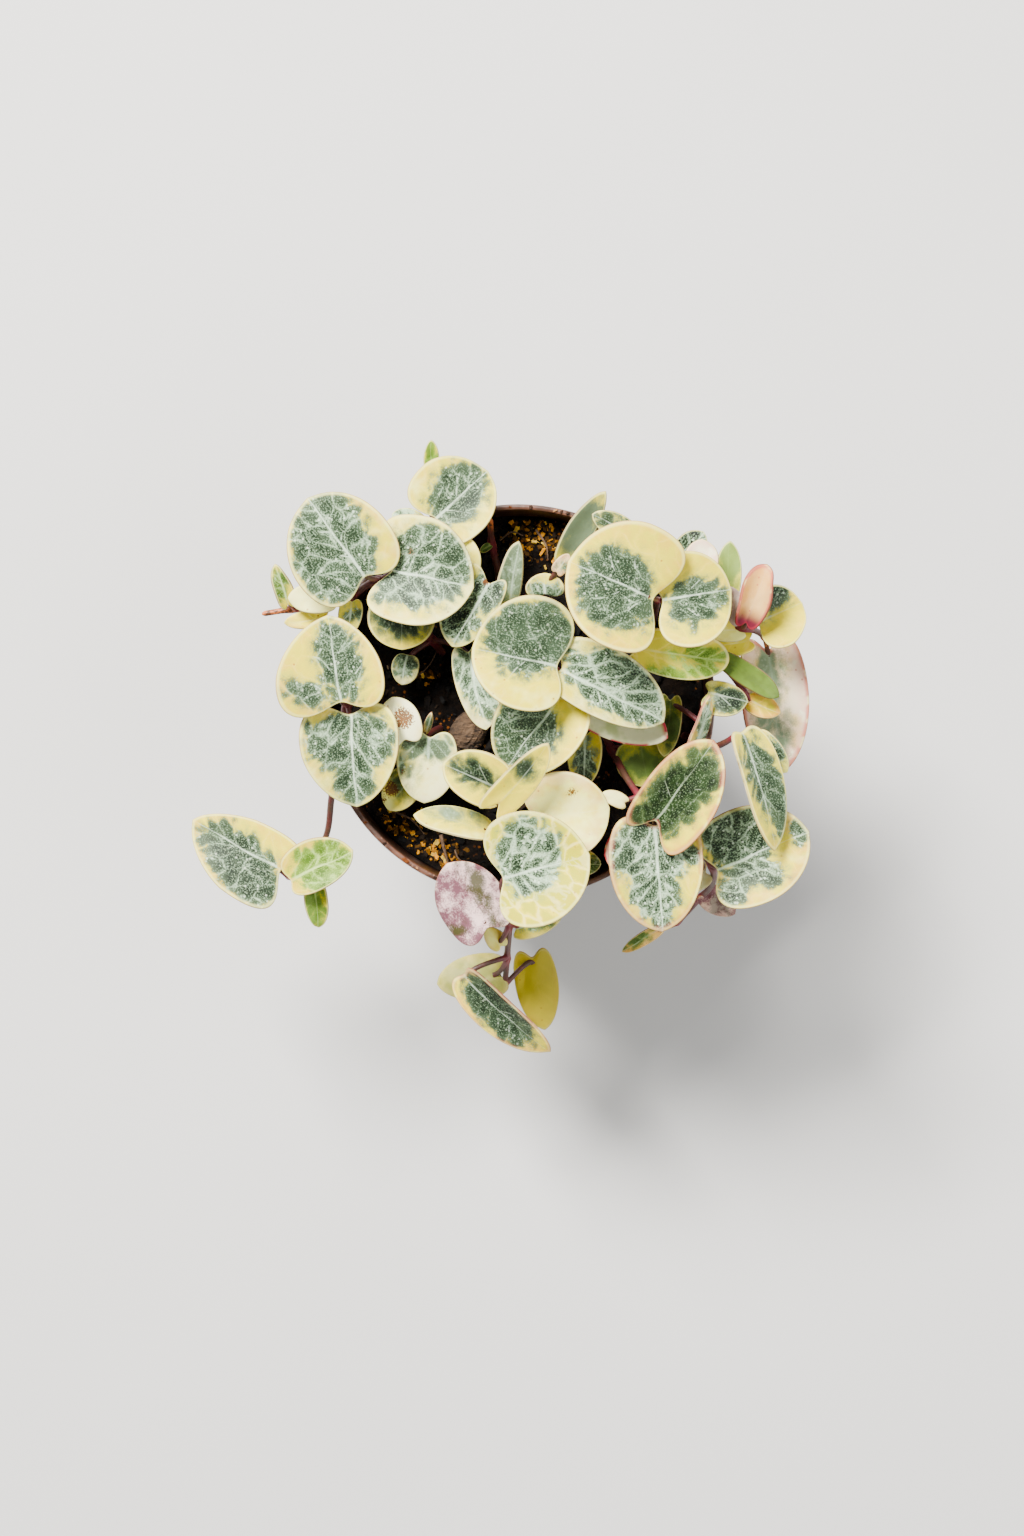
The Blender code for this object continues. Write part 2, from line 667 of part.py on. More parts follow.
def make_material(name, colour, roughness):
    """A plain Principled material."""
    material = bpy.data.materials.new(name)
    material.use_nodes = True
    shader = material.node_tree.nodes["Principled BSDF"]
    shader.inputs["Base Color"].default_value = (*colour, 1)
    shader.inputs["Roughness"].default_value = roughness
    return material


def main():
    for old in list(bpy.data.objects):
        bpy.data.objects.remove(old)
    make_pot(make_material("pot_plastic", (0.09, 0.045, 0.03), 0.45))
    make_soil(make_material("potting_soil", (0.02, 0.013, 0.008), 0.95))
    tuber_skin = make_material("tuber_skin", (0.17, 0.12, 0.10), 0.85)
    tuber_solid("tuber").data.materials.append(tuber_skin)
    leaf = make_material("variegated_leaf", (0.42, 0.47, 0.26), 0.45)
    for name, (points, blades) in VINES.items():
        make_vine(name, points, blades, leaf)


main()
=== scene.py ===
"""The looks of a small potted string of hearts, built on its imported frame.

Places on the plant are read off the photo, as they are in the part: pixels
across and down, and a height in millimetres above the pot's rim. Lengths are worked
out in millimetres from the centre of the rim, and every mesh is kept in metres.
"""
from math import cos, pi, radians, sin, tau
from random import Random

import bpy
import numpy as np
from mathutils import Matrix, Vector, noise


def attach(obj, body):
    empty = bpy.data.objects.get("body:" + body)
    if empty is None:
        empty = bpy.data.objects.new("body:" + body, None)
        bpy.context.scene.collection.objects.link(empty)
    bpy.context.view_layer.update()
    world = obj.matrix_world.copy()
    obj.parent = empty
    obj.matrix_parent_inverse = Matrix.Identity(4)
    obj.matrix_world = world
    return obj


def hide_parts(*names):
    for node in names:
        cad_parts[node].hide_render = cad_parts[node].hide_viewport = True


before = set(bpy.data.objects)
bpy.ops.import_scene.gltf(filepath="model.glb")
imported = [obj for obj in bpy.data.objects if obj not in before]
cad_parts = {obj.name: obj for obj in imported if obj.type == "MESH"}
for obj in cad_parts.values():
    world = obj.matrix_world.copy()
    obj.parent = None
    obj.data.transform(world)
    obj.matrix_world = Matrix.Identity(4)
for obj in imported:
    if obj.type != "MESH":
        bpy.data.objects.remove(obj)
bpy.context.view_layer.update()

MM = 0.001
UP = np.array([0.0, 0.0, 1.0])
TINY = 0.0001

# Pot
POT_HEIGHT = 55.0
RIM_RADIUS = 30.0
RIM_BAND = 8.0
BAND_STEP = 1.3
BAND_TAPER = 0.4
BASE_RADIUS = 21.0
POT_WALL = 0.9
POT_FLOOR = 1.3
STEP_HEIGHT = POT_HEIGHT - RIM_BAND
INNER_STEP = STEP_HEIGHT - 0.5
STEP_OUT = RIM_RADIUS - BAND_STEP
BAND_FOOT = RIM_RADIUS - BAND_TAPER
POT_SIDES = 144
FLOOR_RINGS = (0.8, 0.5, 0.25)
CREASE_ANGLE = 40.0
DRAIN_HOLES = 6
DRAIN_RADIUS = 2.3
DRAIN_CIRCLE = 13.5
# Its rounded edges: steps out and up, in millimetres, from the corner that each rounds
FOOT_ROUND = [(-0.8, 0), (-0.25, 0.15), (0, 0.8)]
STEP_ROUND = [(0, -0.15), (0.15, 0.05)]
BAND_ROUND = [(-0.25, 0.35), (0, 0.8)]
LIP_ROUND = [(-0.05, -0.6), (0, -0.35), (-0.1, -0.1), (-0.3, 0), (-0.6, 0), (-0.8, -0.1),
             (-POT_WALL, -0.4)]

# The photo: the middle of its frame and the circle of the rim, in pixels
FRAME_MIDDLE = (512.0, 768.0)
RIM_MIDDLE = (517.7, 701.4)
RIM_REACH = 197.5
CAMERA_HEIGHT = 450.0
FRAME_HEIGHT = 1536
SENSOR = 36.0

# The studio: how its light and the film show a colour, then its parts, in metres
LIGHT_GAIN = 3.8
FILM_TURN = 1.4
PALEST = 0.95
ROOM_COLOUR = (0.95, 0.97, 1, 1)
ROOM_STRENGTH = 0.26
FLOOR_SIZE = 12
# Soft lights: a name, a place, a size, a power in watts and a colour
LIGHTS = [("window", (-0.3, 0.42, 0.75), 0.3, 35, (1, 0.985, 0.96)),
          ("fill", (0.5, -0.2, 0.6), 0.6, 5, (0.96, 0.98, 1))]

# Soil
SOIL_LEVEL = -7.0
SOIL_EDGE = -6.2
EDGE_FROM = 0.8
EDGE_PACE = 4
FOOT_GAP = 0.3
WALL_GAP = 0.2
BAND_GAP = 0.1
SOIL_SIDES = 200
SOIL_RINGS = np.linspace(0.985, 0.02, 66)
NEAR_TOP = 0.1
CRUMBS_END = 0.99
SOIL_LUMP = 0.7
LUMP_SCALE = 0.12
CRUMB_SCALE = 0.45
CRUMB_SHARE = 0.6
CRUMB_SLICE = 9.0
# Finer crumbs on its top: a slice of the noise, its scale and a height in millimetres
FINE_CRUMBS = [(3, 1.1, 0.45), (7, 2.6, 0.3)]

# Tuber
TUBER_PLACE = (-7.5, -4.5, -6.5)
TUBER_HALVES = (3.6, 2.7, 2.5)
TUBER_TURN = 60.0
TUBER_WRINKLE = 0.1
WRINKLE_SCALE = 2.3
GROOVE_SCALES = (1.2, 4.2, 3.2)
GROOVE_NOISE = (1.0, 2.1, 4, 1.0, 2.0)
GROOVE_SIZE = 0.06
GROOVE_MIDDLE = 0.07

# Stems
STEM_RADIUS = 0.75
TIP_RADIUS = 0.5
STEM_SLIM = 0.86
END_SLIM = 0.45
STEM_STEPS = 10
STEM_ROUNDNESS = 3
ROOT_DEPTH = 5.0
NODE_SWELL = 0.35
NODE_REACH = 1.1
NODE_BLUSH = 1.6
PETIOLE_RADIUS = 0.42
PETIOLE_MIDDLE = 0.92
PETIOLE_FOOT = 0.35
PETIOLE_HEAD = 0.2
PETIOLE_SINK = 1.1
PETIOLE_BACK = 0.35
PETIOLE_RISE = 0.35
PETIOLE_ARRIVE = 0.3
PETIOLE_SAG = 0.12
PETIOLE_STEPS = 14
# The millimetres of a stem's end that are dry and brown
DRY_ENDS = {"vine_upper_left": 5.5, "bud_shoot": 2.5, "vine_right": 2.5}

# Blades
BLADE_HALF = 0.34
MARGIN_HALF = 0.1
EDGE_POWER = 8
LARGE_BLADE = 7.0
LARGE_SIDES = 96
LARGE_RINGS = (0.988, 0.972, 0.95, 0.92, 0.88, 0.83, 0.76, 0.68, 0.59, 0.49, 0.38, 0.26, 0.13)
SMALL_SIDES = 48
SMALL_RINGS = (0.98, 0.94, 0.87, 0.76, 0.62, 0.45, 0.24)
NOTCH_WIDTH = 0.42
POINT_WIDTH = 0.22
LOBE_REACH = 1.6
CREASE = 1.6
CURL_STEPS = 60
BARE = -9.0
# Waves of the margin: how many go round the blade, and their share of its lift
WAVES = [(2, 1.0), (3, 0.7), (5, 0.45)]

# Veins, in millimetres: a sway is how far ripples push them, and how long the ripples are
SIDE_VEINS = 4.0
VEIN_LEAN = 0.95
VEIN_CURVE = 0.05
VEIN_SWAY = (0.55, 7)
SIDE_SWAY = (0.3, 6)
RIB_SWAY = (0.16, 7)
RIPPLES = 5
RIPPLE_SPREAD = (0.7, 1.6)
RIPPLE_SUM = 3
NET = 0.36
FINE_NET = 0.85
NET_SWAY = 1.4
NET_SQUASH = (1, 0.85, 0)
FAR_APART = 400
# The looks of a leaf, three to each attribute that carries them
LEAF_LOOKS = {"leaf_looks": ("silver", "yellow", "pink"),
              "leaf_tones": ("dark", "lime", "mottle"),
              "leaf_edges": ("rim", "shine", "plain")}

# Chips and grains: sizes are the least, what is added at most, and how rare the largest are
CHIP_SEED = 11
CHIP_COUNT = 760
CHIP_INSET = 2.4
CHIP_SIZES = (0.35, 1.1, 2.6)
CHIP_LIFT = 0.25
CHIP_STRETCH = [(0.8, 1.8), (0.6, 1.1), (0.35, 0.8)]
CHIP_TILTS = (0.5, 0.4)
CHIP_SHADES = (0.7, 1.2)
BREAK_SCALE = 2.3
BREAK_SIZE = 0.34
DARK_TINTS = [(14, 9, 5), (36, 24, 12), (72, 48, 22), (122, 80, 24), (206, 190, 160)]
DARK_SHARES = (40, 30, 12, 5, 2)
GOLD_CROWD = 5
GOLD_INSET = 2.2
GOLD_SIZES = (0.17, 0.66, 2.2)
GOLD_LIFT = 0.4
GOLD_TINTS = [(140, 98, 16), (212, 168, 20), (240, 206, 40), (246, 228, 130), (60, 40, 16)]
GOLD_SHARES = (22, 22, 18, 6, 32)
# Where gold grains crowd, as pixels across and down and a reach
GOLD_PLACES = [(530, 516, 22), (552, 538, 24), (522, 548, 18), (408, 832, 26), (432, 850, 26),
               (384, 822, 16), (452, 862, 16), (428, 674, 10)]
# Crumbs on the pot's rim, as pixels across and down
RIM_CRUMBS = [(510, 505), (556, 508), (562, 509), (568, 512), (531, 504), (366, 822), (386, 842),
              (407, 858), (418, 866), (436, 876), (352, 800)]
RIM_TINTS = [(196, 130, 60), (110, 74, 50), (226, 196, 150)]
RIM_SIZES = (0.3, 0.6)
RIM_LIFT = 0.1
RIM_INSET = 0.45

# Twigs and root threads: pixels across and down and heights, then a thickness in millimetres
TWIGS = [([(441, 835, -4.6), (444, 848, -5.2), (449, 866, -6.4)], 0.34),
         ([(455, 850, -6.2), (458, 858, -5.4), (464, 862, -6.3)], 0.16),
         ([(418, 676, -6.4), (430, 664, -5.2), (438, 648, -6.3)], 0.14),
         ([(536, 530, -6.3), (546, 545, -5.4), (548, 560, -6.4)], 0.2),
         ([(500, 540, -6.5), (512, 532, -5.6), (524, 536, -6.4)], 0.16),
         ([(395, 812, -6.2), (412, 820, -5.3), (424, 834, -6.3)], 0.18)]
TWIG_TINT = (176, 150, 124)
TWIG_THINS = 0.5
TWIG_ROUNDNESS = 2


def pixel_size(height):
    """The millimetres that a pixel spans, at a height above the rim."""
    return RIM_RADIUS / RIM_REACH * (CAMERA_HEIGHT - height) / CAMERA_HEIGHT


def spot(x, y, height):
    """A point of the photo, in millimetres from the centre of the rim."""
    rim = pixel_size(0)
    here = pixel_size(height)
    across = (FRAME_MIDDLE[0] - RIM_MIDDLE[0]) * rim + (x - FRAME_MIDDLE[0]) * here
    back = (RIM_MIDDLE[1] - FRAME_MIDDLE[1]) * rim + (FRAME_MIDDLE[1] - y) * here
    return np.array([across, back, height])


def seen_at(points):
    """Where points are seen on the photo, in pixels across and down."""
    rim = pixel_size(0)
    here = pixel_size(points[:, 2])
    middle = (FRAME_MIDDLE[0] - RIM_MIDDLE[0]) * rim, (RIM_MIDDLE[1] - FRAME_MIDDLE[1]) * rim
    across = FRAME_MIDDLE[0] + (points[:, 0] - middle[0]) / here
    down = FRAME_MIDDLE[1] - (points[:, 1] - middle[1]) / here
    return across, down, here


def blade(at, notch_at, tip_at, left, right, **shape):
    """One leaf: the stem point it grows from, its notch, its tip, its half widths.

    roll, fold, cup and arch are in degrees. notch, lobe, egg and point shape
    the outline, wave lifts the margin, and a flipped leaf shows its underside.
    green is its green patches, as ellipses on the photo: middle, half sizes and
    clockwise turn. spots are brown: middle and radius. The other looks run from
    none at 0 to full at 1: silver veins, yellow and mottled cream, a pink margin, dark
    or lime green, a rose rim, shine, and a plain blade whose veins don't show.
    """
    form = dict(roll=0, fold=12, cup=8, arch=15, notch=0.32, lobe=0.12, egg=0.08,
                point=0.05, flip=False, wave=0.12, green=[], spots=[],
                silver=0.5, yellow=0.3, pink=0.2, dark=0.5, lime=0.0, mottle=0.3,
                rim=0.0, shine=0.0, plain=0.0)
    form.update(shape)
    scale = pixel_size((notch_at[2] + tip_at[2]) / 2)
    form.update(at=at, base=spot(*notch_at), tip=spot(*tip_at),
                left=left * scale, right=right * scale)
    half_arch = radians(form["arch"]) / 2
    chord = np.linalg.norm(form["tip"] - form["base"])
    form["length"] = chord * half_arch / sin(half_arch)
    return form


# Each vine: the points of its stem from the soil up, then its blades.
VINES = {
    # Left edge: a pair on the rim, then a hanging pair with a folded leaf
    "vine_left": (
        [(374, 664, -7), (358, 684, 1), (347, 706, 6.5), (340, 745, 2.5), (334, 770, 1.8),
         (331, 802, -3), (326, 836, -6.5), (308, 862, -6.5), (287, 878, -5)],
        [
            blade(2, (341, 702, 11.5), (328, 615, 13), 62, 46, roll=4, egg=0.25,
                  green=[(339, 660, 42, 22, 75), (310, 694, 27, 12, 18)], yellow=0.8, pink=0.35),
            blade(2, (350, 714, 9), (357, 807, 6), 47, 52, egg=0.25,
                  green=[(349, 742, 46, 31, 0), (354, 778, 21, 26, 0)], silver=0.6, pink=0.3),
            blade(8, (281, 870, -3), (193, 820, -4), 46, 32, notch=0.2, lobe=0.4, egg=0.3,
                  green=[(243, 866, 54, 27, 48), (279, 908, 12, 8, 0)], silver=0.48, dark=0.75,
                  yellow=0.75, pink=0.35),
            blade(8, (291, 881, -3), (353, 850, -2.5), 31, 22, notch=0.2, cup=25,
                  green=[(325, 868, 30, 27, 0)], lime=0.9, dark=0.0, silver=0.65, yellow=0.8,
                  pink=0.4),
            blade(7, (314, 882, -6), (319, 928, -8), 13, 12, notch=0.15, fold=25,
                  green=[(314, 905, 10, 26, 0)], lime=0.9, dark=0.0, silver=0.1, yellow=0.6),
        ],
    ),
    # Upper left: the big pair, small leaves under it and a dry stem end
    "vine_upper_left": (
        [(408, 602, -7), (396, 596, 1), (380, 580, 9), (352, 594, 6.5), (318, 606, 4),
         (293, 609, 3), (262, 614, 3)],
        [
            blade(2, (365, 577, 12.5), (307, 498, 14.5), 59, 52,
                  green=[(333, 550, 57, 41, 74)], silver=0.6, yellow=0.5, pink=0.4),
            blade(2, (392, 570, 11), (474, 588, 13), 60, 52, notch=0.4, lobe=0.35,
                  green=[(422, 567, 52, 42, -10), (385, 590, 14, 9, -20)],
                  spots=[(411, 552, 6)], silver=0.6, yellow=0.2),
            blade(3, (352, 602, 8), (347, 636, 8), 12, 12,
                  green=[(355, 615, 8, 6, 0)], yellow=0.4),
            blade(3, (332, 598, 7.5), (288, 598, 7.5), 16, 16, yellow=0.2),
            blade(4, (325, 618, 4.5), (284, 623, 4.5), 9, 10, yellow=0.6, pink=0.5),
            blade(5, (288, 604, 5), (275, 564, 8), 10, 10, fold=45,
                  green=[(280, 582, 9, 18, 0)], lime=0.6, dark=0.4, yellow=0.7),
        ],
    ),
    # Top edge: one leaf over the rim and a small one hanging behind
    "vine_top": (
        [(462, 560, -7), (452, 545, 1), (436, 526, 6.5), (431, 503, 2.5), (431, 478, -4)],
        [
            blade(2, (436, 519, 9), (488, 471, 8), 48, 41, lobe=0.2,
                  green=[(458, 493, 35, 27, -54)], silver=0.45, yellow=0.4, pink=0.2),
            blade(2, (420, 528, 5.5), (392, 514, 5.5), 12, 14,
                  green=[(400, 520, 20, 16, 0)], silver=0.9, dark=0.1),
            blade(1, (446, 556, 8), (480, 570, 9), 26, 22, yellow=0.3),
            blade(4, (432, 472, -6), (431, 440, -4), 8, 8,
                  green=[(431, 456, 8, 18, 0)], lime=1.0, dark=0.0, yellow=0.9, silver=0.1),
        ],
    ),
    # A bare shoot with a bud at the top edge
    "bud_shoot": (
        [(500, 592, -7), (498, 570, -3), (492, 545, 0), (490, 518, 4)],
        [
            blade(2, (490, 545, 0.5), (480, 552, 1), 4, 4,
                  green=[(485, 548, 9, 9, 0)], lime=0.7, dark=0.2, silver=0.1),
        ],
    ),
    # Inside the top edge: a dark leaf, an upright one and a small pair
    "vine_inner_top": (
        [(520, 618, -7), (514, 610, 0), (506, 600, 5), (496, 592, 8)],
        [
            blade(3, (489, 583, 11), (452, 647, 9.5), 22, 34, lobe=0.3,
                  green=[(455, 615, 26, 30, 40), (487, 590, 22, 18, -30)],
                  silver=0.6, dark=0.8, yellow=0.3, spots=[(487, 582, 7)]),
            blade(2, (510, 602, 6.5), (519, 541, 11), 16, 9, fold=30,
                  green=[(515, 570, 20, 38, 0)], silver=0.8, dark=0.0, mottle=0.0, plain=0.6),
            blade(1, (545, 594, 7), (545, 573, 8), 20, 20,
                  green=[(545, 590, 22, 9, 0)], silver=0.7, dark=0.5, pink=0.4),
            blade(1, (557, 572, 9.5), (569, 554, 10.5), 8, 8,
                  green=[(565, 566, 5, 6, 0)], pink=0.9, yellow=0.1),
        ],
    ),
    # Centre: the middle pair with three leaves under it
    "vine_centre": (
        [(566, 722, -7), (565, 712, 0), (563, 695, 7), (559, 672, 13)],
        [
            blade(3, (557, 666, 16), (472, 648, 17), 52, 66, point=0.02,
                  green=[(531, 638, 46, 38, 0)], silver=0.35, yellow=0.5, dark=0.4),
            blade(3, (561, 669, 15), (664, 722, 11), 44, 28,
                  green=[(618, 684, 58, 30, 24), (655, 714, 18, 18, 0)],
                  silver=0.72, dark=0.6, yellow=0.2),
            blade(2, (560, 697, 11), (505, 770, 9.5), 46, 46,
                  green=[(524, 732, 35, 37, 0), (514, 752, 14, 16, 0)], silver=0.45, yellow=0.7),
            blade(1, (585, 735, 3), (583, 787, 3), 18, 18,
                  green=[(585, 765, 12, 20, 0)], yellow=0.8),
            blade(1, (590, 712, 8), (668, 738, 8), 20, 30, flip=True,
                  pink=0.15, silver=0.8, dark=0.0, rim=1.0, yellow=0.2),
        ],
    ),
    # Crown: the highest pair
    "vine_crown": (
        [(652, 622, -7), (654, 614, 3), (657, 604, 12), (658, 600, 18)],
        [
            blade(3, (654, 599, 21), (568, 561, 23), 66, 68, lobe=0.3,
                  green=[(614, 588, 38, 41, 0), (645, 618, 10, 14, 20)],
                  silver=0.42, yellow=0.95, pink=0.35, dark=0.55),
            blade(3, (662, 600, 19), (732, 590, 17), 46, 53,
                  green=[(695, 602, 28, 24, -15), (722, 596, 10, 8, -10)],
                  silver=0.42, yellow=0.9, pink=0.2, dark=0.5),
        ],
    ),
    # Back edge: leaves that lean out behind the crown
    "vine_back": (
        [(584, 584, -7), (580, 568, 2), (602, 552, 8), (640, 548, 9.5), (675, 562, 8),
         (702, 578, 6), (724, 600, 2)],
        [
            blade(1, (568, 560, 7), (606, 491, 13), 18, 11, fold=30,
                  green=[(582, 528, 24, 34, 25)], dark=0.5, silver=0.1, yellow=0.7, plain=1.0),
            blade(2, (630, 535, 12.5), (592, 514, 14), 12, 14,
                  green=[(612, 524, 22, 10, 15)], dark=0.7, silver=0.2, yellow=0.3,
                  spots=[(603, 512, 2.5), (612, 512, 2)]),
            blade(4, (680, 560, 9.5), (704, 532, 10), 16, 16,
                  green=[(688, 540, 26, 16, 10)], dark=1.0, silver=0.6),
            blade(5, (700, 572, 12.5), (702, 539, 13), 18, 18, pink=0.8, yellow=0.0),
            blade(6, (726, 598, 2.5), (730, 541, 2.5), 14, 14,
                  green=[(730, 560, 16, 30, 0)], dark=0.0, lime=0.9, silver=0.6, plain=0.9),
        ],
    ),
    # Right edge: a pink folded leaf, its neighbours and a broad low leaf
    "vine_right": (
        [(676, 648, -7), (694, 636, 2), (722, 628, 8), (745, 628, 11), (758, 632, 8),
         (765, 638, 4.5)],
        [
            blade(3, (746, 622, 14), (767, 565, 18.5), 19, 19, fold=45, egg=-0.3,
                  pink=1.0, yellow=0.3, rim=0.8, wave=0.3),
            blade(3, (758, 623, 11.5), (803, 603, 11), 31, 34, notch=0.2,
                  green=[(771, 597, 31, 14, -44)], dark=0.9, yellow=0.9, wave=0.35, silver=0.25),
            blade(3, (741, 620, 12), (726, 586, 14), 12, 12, flip=True, pink=0.8, yellow=0.1),
            blade(2, (742, 630, 10.5), (704, 630, 10), 12, 12, yellow=0.3),
            blade(2, (750, 640, 7), (710, 648, 7), 14, 14, yellow=0.9),
            blade(5, (768, 650, 1.5), (782, 776, -1), 36, 36, roll=-12, arch=22,
                  green=[(768, 680, 14, 32, 0), (782, 736, 9, 16, 0), (764, 718, 8, 22, 0)],
                  dark=0.2, silver=1.0, plain=0.9, pink=0.8, rim=0.7, yellow=0.0),
        ],
    ),
    # Right, inside: a long leaf with a glossy one and a small one beyond
    "vine_right_inner": (
        [(640, 692, -7), (640, 674, 2), (643, 655, 9), (680, 662, 7.5), (718, 664, 7.5),
         (744, 690, 7)],
        [
            blade(2, (640, 648, 13.5), (728, 664, 13), 27, 25, roll=18, egg=-0.1, point=0.0,
                  green=[(700, 654, 20, 8, 0), (668, 676, 15, 8, 20), (704, 669, 18, 8, 0)],
                  lime=1.0, dark=0.0, yellow=0.9, silver=0.8),
            blade(4, (722, 658, 10.5), (779, 697, 9.5), 12, 12, fold=30, egg=-0.2,
                  green=[(750, 678, 64, 44, 35)], lime=0.9, dark=0.6, silver=0.0, shine=1.0,
                  plain=1.0),
            blade(5, (750, 701, 7), (780, 713, 6.5), 12, 12, yellow=1.0, pink=0.8, mottle=1.0),
        ],
    ),
    # Right, low: small leaves between the long ones
    "vine_right_low": (
        [(684, 736, -7), (694, 736, -1), (701, 722, 3), (704, 700, 4.5)],
        [
            blade(3, (708, 692, 9), (748, 702, 9.5), 14, 22,
                  green=[(727, 700, 21, 15, 10)], dark=0.9, silver=0.2),
            blade(2, (695, 746, 7.5), (714, 696, 12), 10, 9, roll=35,
                  green=[(705, 720, 6, 22, 15)], silver=0.8, pink=0.7, rim=0.5),
            blade(2, (670, 700, 1), (664, 757, 1), 14, 14,
                  green=[(672, 728, 16, 30, 0)], dark=0.8, lime=0.7, silver=0.0, plain=0.8,
                  spots=[(677, 736, 2)]),
        ],
    ),
    # Front right: a folded pair with low leaves round its stem
    "vine_front_right": (
        [(604, 733, -7), (612, 750, -3), (625, 775, 3), (640, 797, 7.5), (655, 815, 10.5)],
        [
            blade(4, (656, 821, 14.5), (714, 740, 19), 34, 46, fold=22, lobe=0.45,
                  green=[(678, 795, 62, 27, -44)], spots=[(715, 740, 6)], dark=0.95,
                  silver=0.1, lime=0.2, yellow=0.8, pink=0.45, rim=0.5),
            blade(4, (655, 825, 13), (662, 932, 11), 46, 50, egg=0.15,
                  green=[(650, 852, 44, 32, 0), (655, 895, 24, 26, 0), (660, 918, 11, 12, 0),
                         (694, 856, 9, 9, 0)],
                  silver=0.7, dark=0.65, yellow=0.7, pink=0.3, rim=0.4),
            blade(1, (640, 745, -1.5), (648, 787, -1.5), 28, 28,
                  green=[(645, 766, 30, 20, 0)], lime=0.8, dark=0.6, silver=0.1,
                  yellow=0.9, plain=0.8),
            blade(3, (640, 850, 6.5), (604, 855, 6.5), 25, 25, pink=1.0, rim=1.0, yellow=0.0),
            blade(3, (625, 803, 8.5), (602, 793, 8.5), 8, 8, pink=0.4, yellow=0.2),
        ],
    ),
    # Right: a long tilted leaf and a small one below it
    "vine_long_leaf": (
        [(676, 756, -7), (696, 754, 1.5), (722, 744, 8), (737, 735, 11)],
        [
            blade(3, (741, 732, 13.5), (784, 847, 11.5), 32, 24, notch=0.15, roll=-42,
                  green=[(770, 790, 60, 15, 66)], silver=0.45, dark=0.6, yellow=0.7),
            blade(3, (757, 738, 7), (787, 772, 6), 14, 14,
                  green=[(772, 752, 18, 16, 40)], dark=0.6, yellow=0.3),
        ],
    ),
    # Front right, over the rim: a broad leaf, then a thin hanging end
    "vine_right_trail": (
        [(648, 794, -7), (658, 806, -1), (676, 826, 3), (698, 848, 4), (712, 866, 5), (712, 884, 0),
         (700, 898, -5), (676, 924, -10)],
        [
            blade(4, (717, 870, 7), (809, 831, 8), 52, 50,
                  green=[(738, 838, 38, 32, 10), (750, 872, 32, 15, 5), (733, 893, 13, 17, 60),
                         (800, 832, 10, 12, 0)], silver=0.6, dark=0.75, yellow=0.5, pink=0.5),
            blade(3, (706, 872, 3), (672, 886, 2), 15, 15, yellow=0.1, pink=0.4),
            blade(6, (705, 893, -4), (735, 914, -7), 14, 14, flip=True,
                  green=[(722, 902, 14, 10, 30)], pink=1.0, dark=0.3, lime=0.4),
            blade(6, (688, 894, -5), (660, 884, -6), 12, 12, flip=True,
                  green=[(676, 890, 10, 8, 0)], pink=1.0, dark=0.3, lime=0.4),
            blade(7, (658, 930, -10.5), (622, 952, -13), 7, 7,
                  green=[(640, 940, 16, 8, -30)], pink=0.9, dark=0.7, lime=0.5, silver=0.0),
        ],
    ),
    # Front: a pair at the rim, then the longest hanging stem
    "vine_front_trail": (
        [(514, 860, -7), (511, 880, -1), (506, 902, 3), (509, 925, -2), (507, 958, -10.5),
         (505, 986, -15)],
        [
            blade(2, (503, 878, 11), (590, 855, 14), 63, 57,
                  green=[(528, 856, 31, 38, 0)], silver=0.8, dark=0.65, yellow=1.0,
                  mottle=1.0, pink=0.1),
            blade(2, (488, 928, 5.5), (447, 863, 6), 34, 36, flip=True,
                  green=[(478, 889, 7, 46, -28), (455, 929, 6, 6, 0)], pink=1.0, dark=0.75,
                  silver=0.1, yellow=0.0, plain=0.3, wave=0.3),
            blade(3, (516, 928, -3), (563, 912, -2.5), 15, 15,
                  green=[(540, 920, 22, 9, -15)], dark=0.0, lime=0.2, silver=0.6),
            blade(3, (501, 946, -5), (486, 928, -4.5), 10, 10, yellow=0.4, pink=0.4),
            blade(4, (500, 974, -14), (437, 984, -17), 24, 24, flip=True,
                  green=[(470, 980, 30, 18, 0)], dark=0.0, lime=0.8,
                  silver=0.4, yellow=0.5, plain=1.0),
            blade(4, (464, 974, -8), (544, 1057, -12), 22, 28, fold=22, notch=0.15, roll=35,
                  green=[(497, 1008, 50, 21, 48)], pink=0.45, rim=0.3, dark=0.7, silver=0.25,
                  yellow=0.7),
            blade(5, (532, 957, -16), (545, 1030, -19), 22, 22, flip=True,
                  lime=1.0, dark=0.0, silver=0.0, yellow=1.0, pink=0.25, plain=1.0),
            blade(1, (545, 890, 2.5), (583, 893, 2.5), 13, 13,
                  green=[(565, 892, 16, 10, 0)], dark=0.5, silver=0.1),
            blade(1, (572, 862, 3.5), (601, 864, 3.5), 13, 13,
                  green=[(598, 866, 12, 12, 0)], dark=0.1, lime=0.4, yellow=0.3),
        ],
    ),
    # Front, inside: a folded leaf, a narrow one, a cream one and a low one
    "vine_front": (
        [(512, 828, -7), (510, 815, 0), (506, 802, 6)],
        [
            blade(2, (499, 789, 11), (443, 763, 12), 26, 30, fold=22,
                  green=[(474, 773, 25, 13, 25)], dark=1.0, silver=0.15, yellow=0.8,
                  plain=0.3),
            blade(2, (498, 803, 14), (552, 746, 17.5), 18, 20, roll=25, lobe=0.5,
                  green=[(526, 770, 13, 12, -40)], dark=0.8, silver=0.15, yellow=0.9,
                  plain=0.4),
            blade(1, (535, 820, 8.5), (610, 808, 9), 46, 46, yellow=0.25,
                  pink=0.6, spots=[(572, 793, 7)]),
            blade(1, (490, 832, 6.5), (415, 809, 6.5), 18, 18, notch=0.15, roll=38,
                  green=[(448, 810, 28, 6, 15)], silver=0.9, dark=0.0, yellow=0.4, plain=0.85),
        ],
    ),
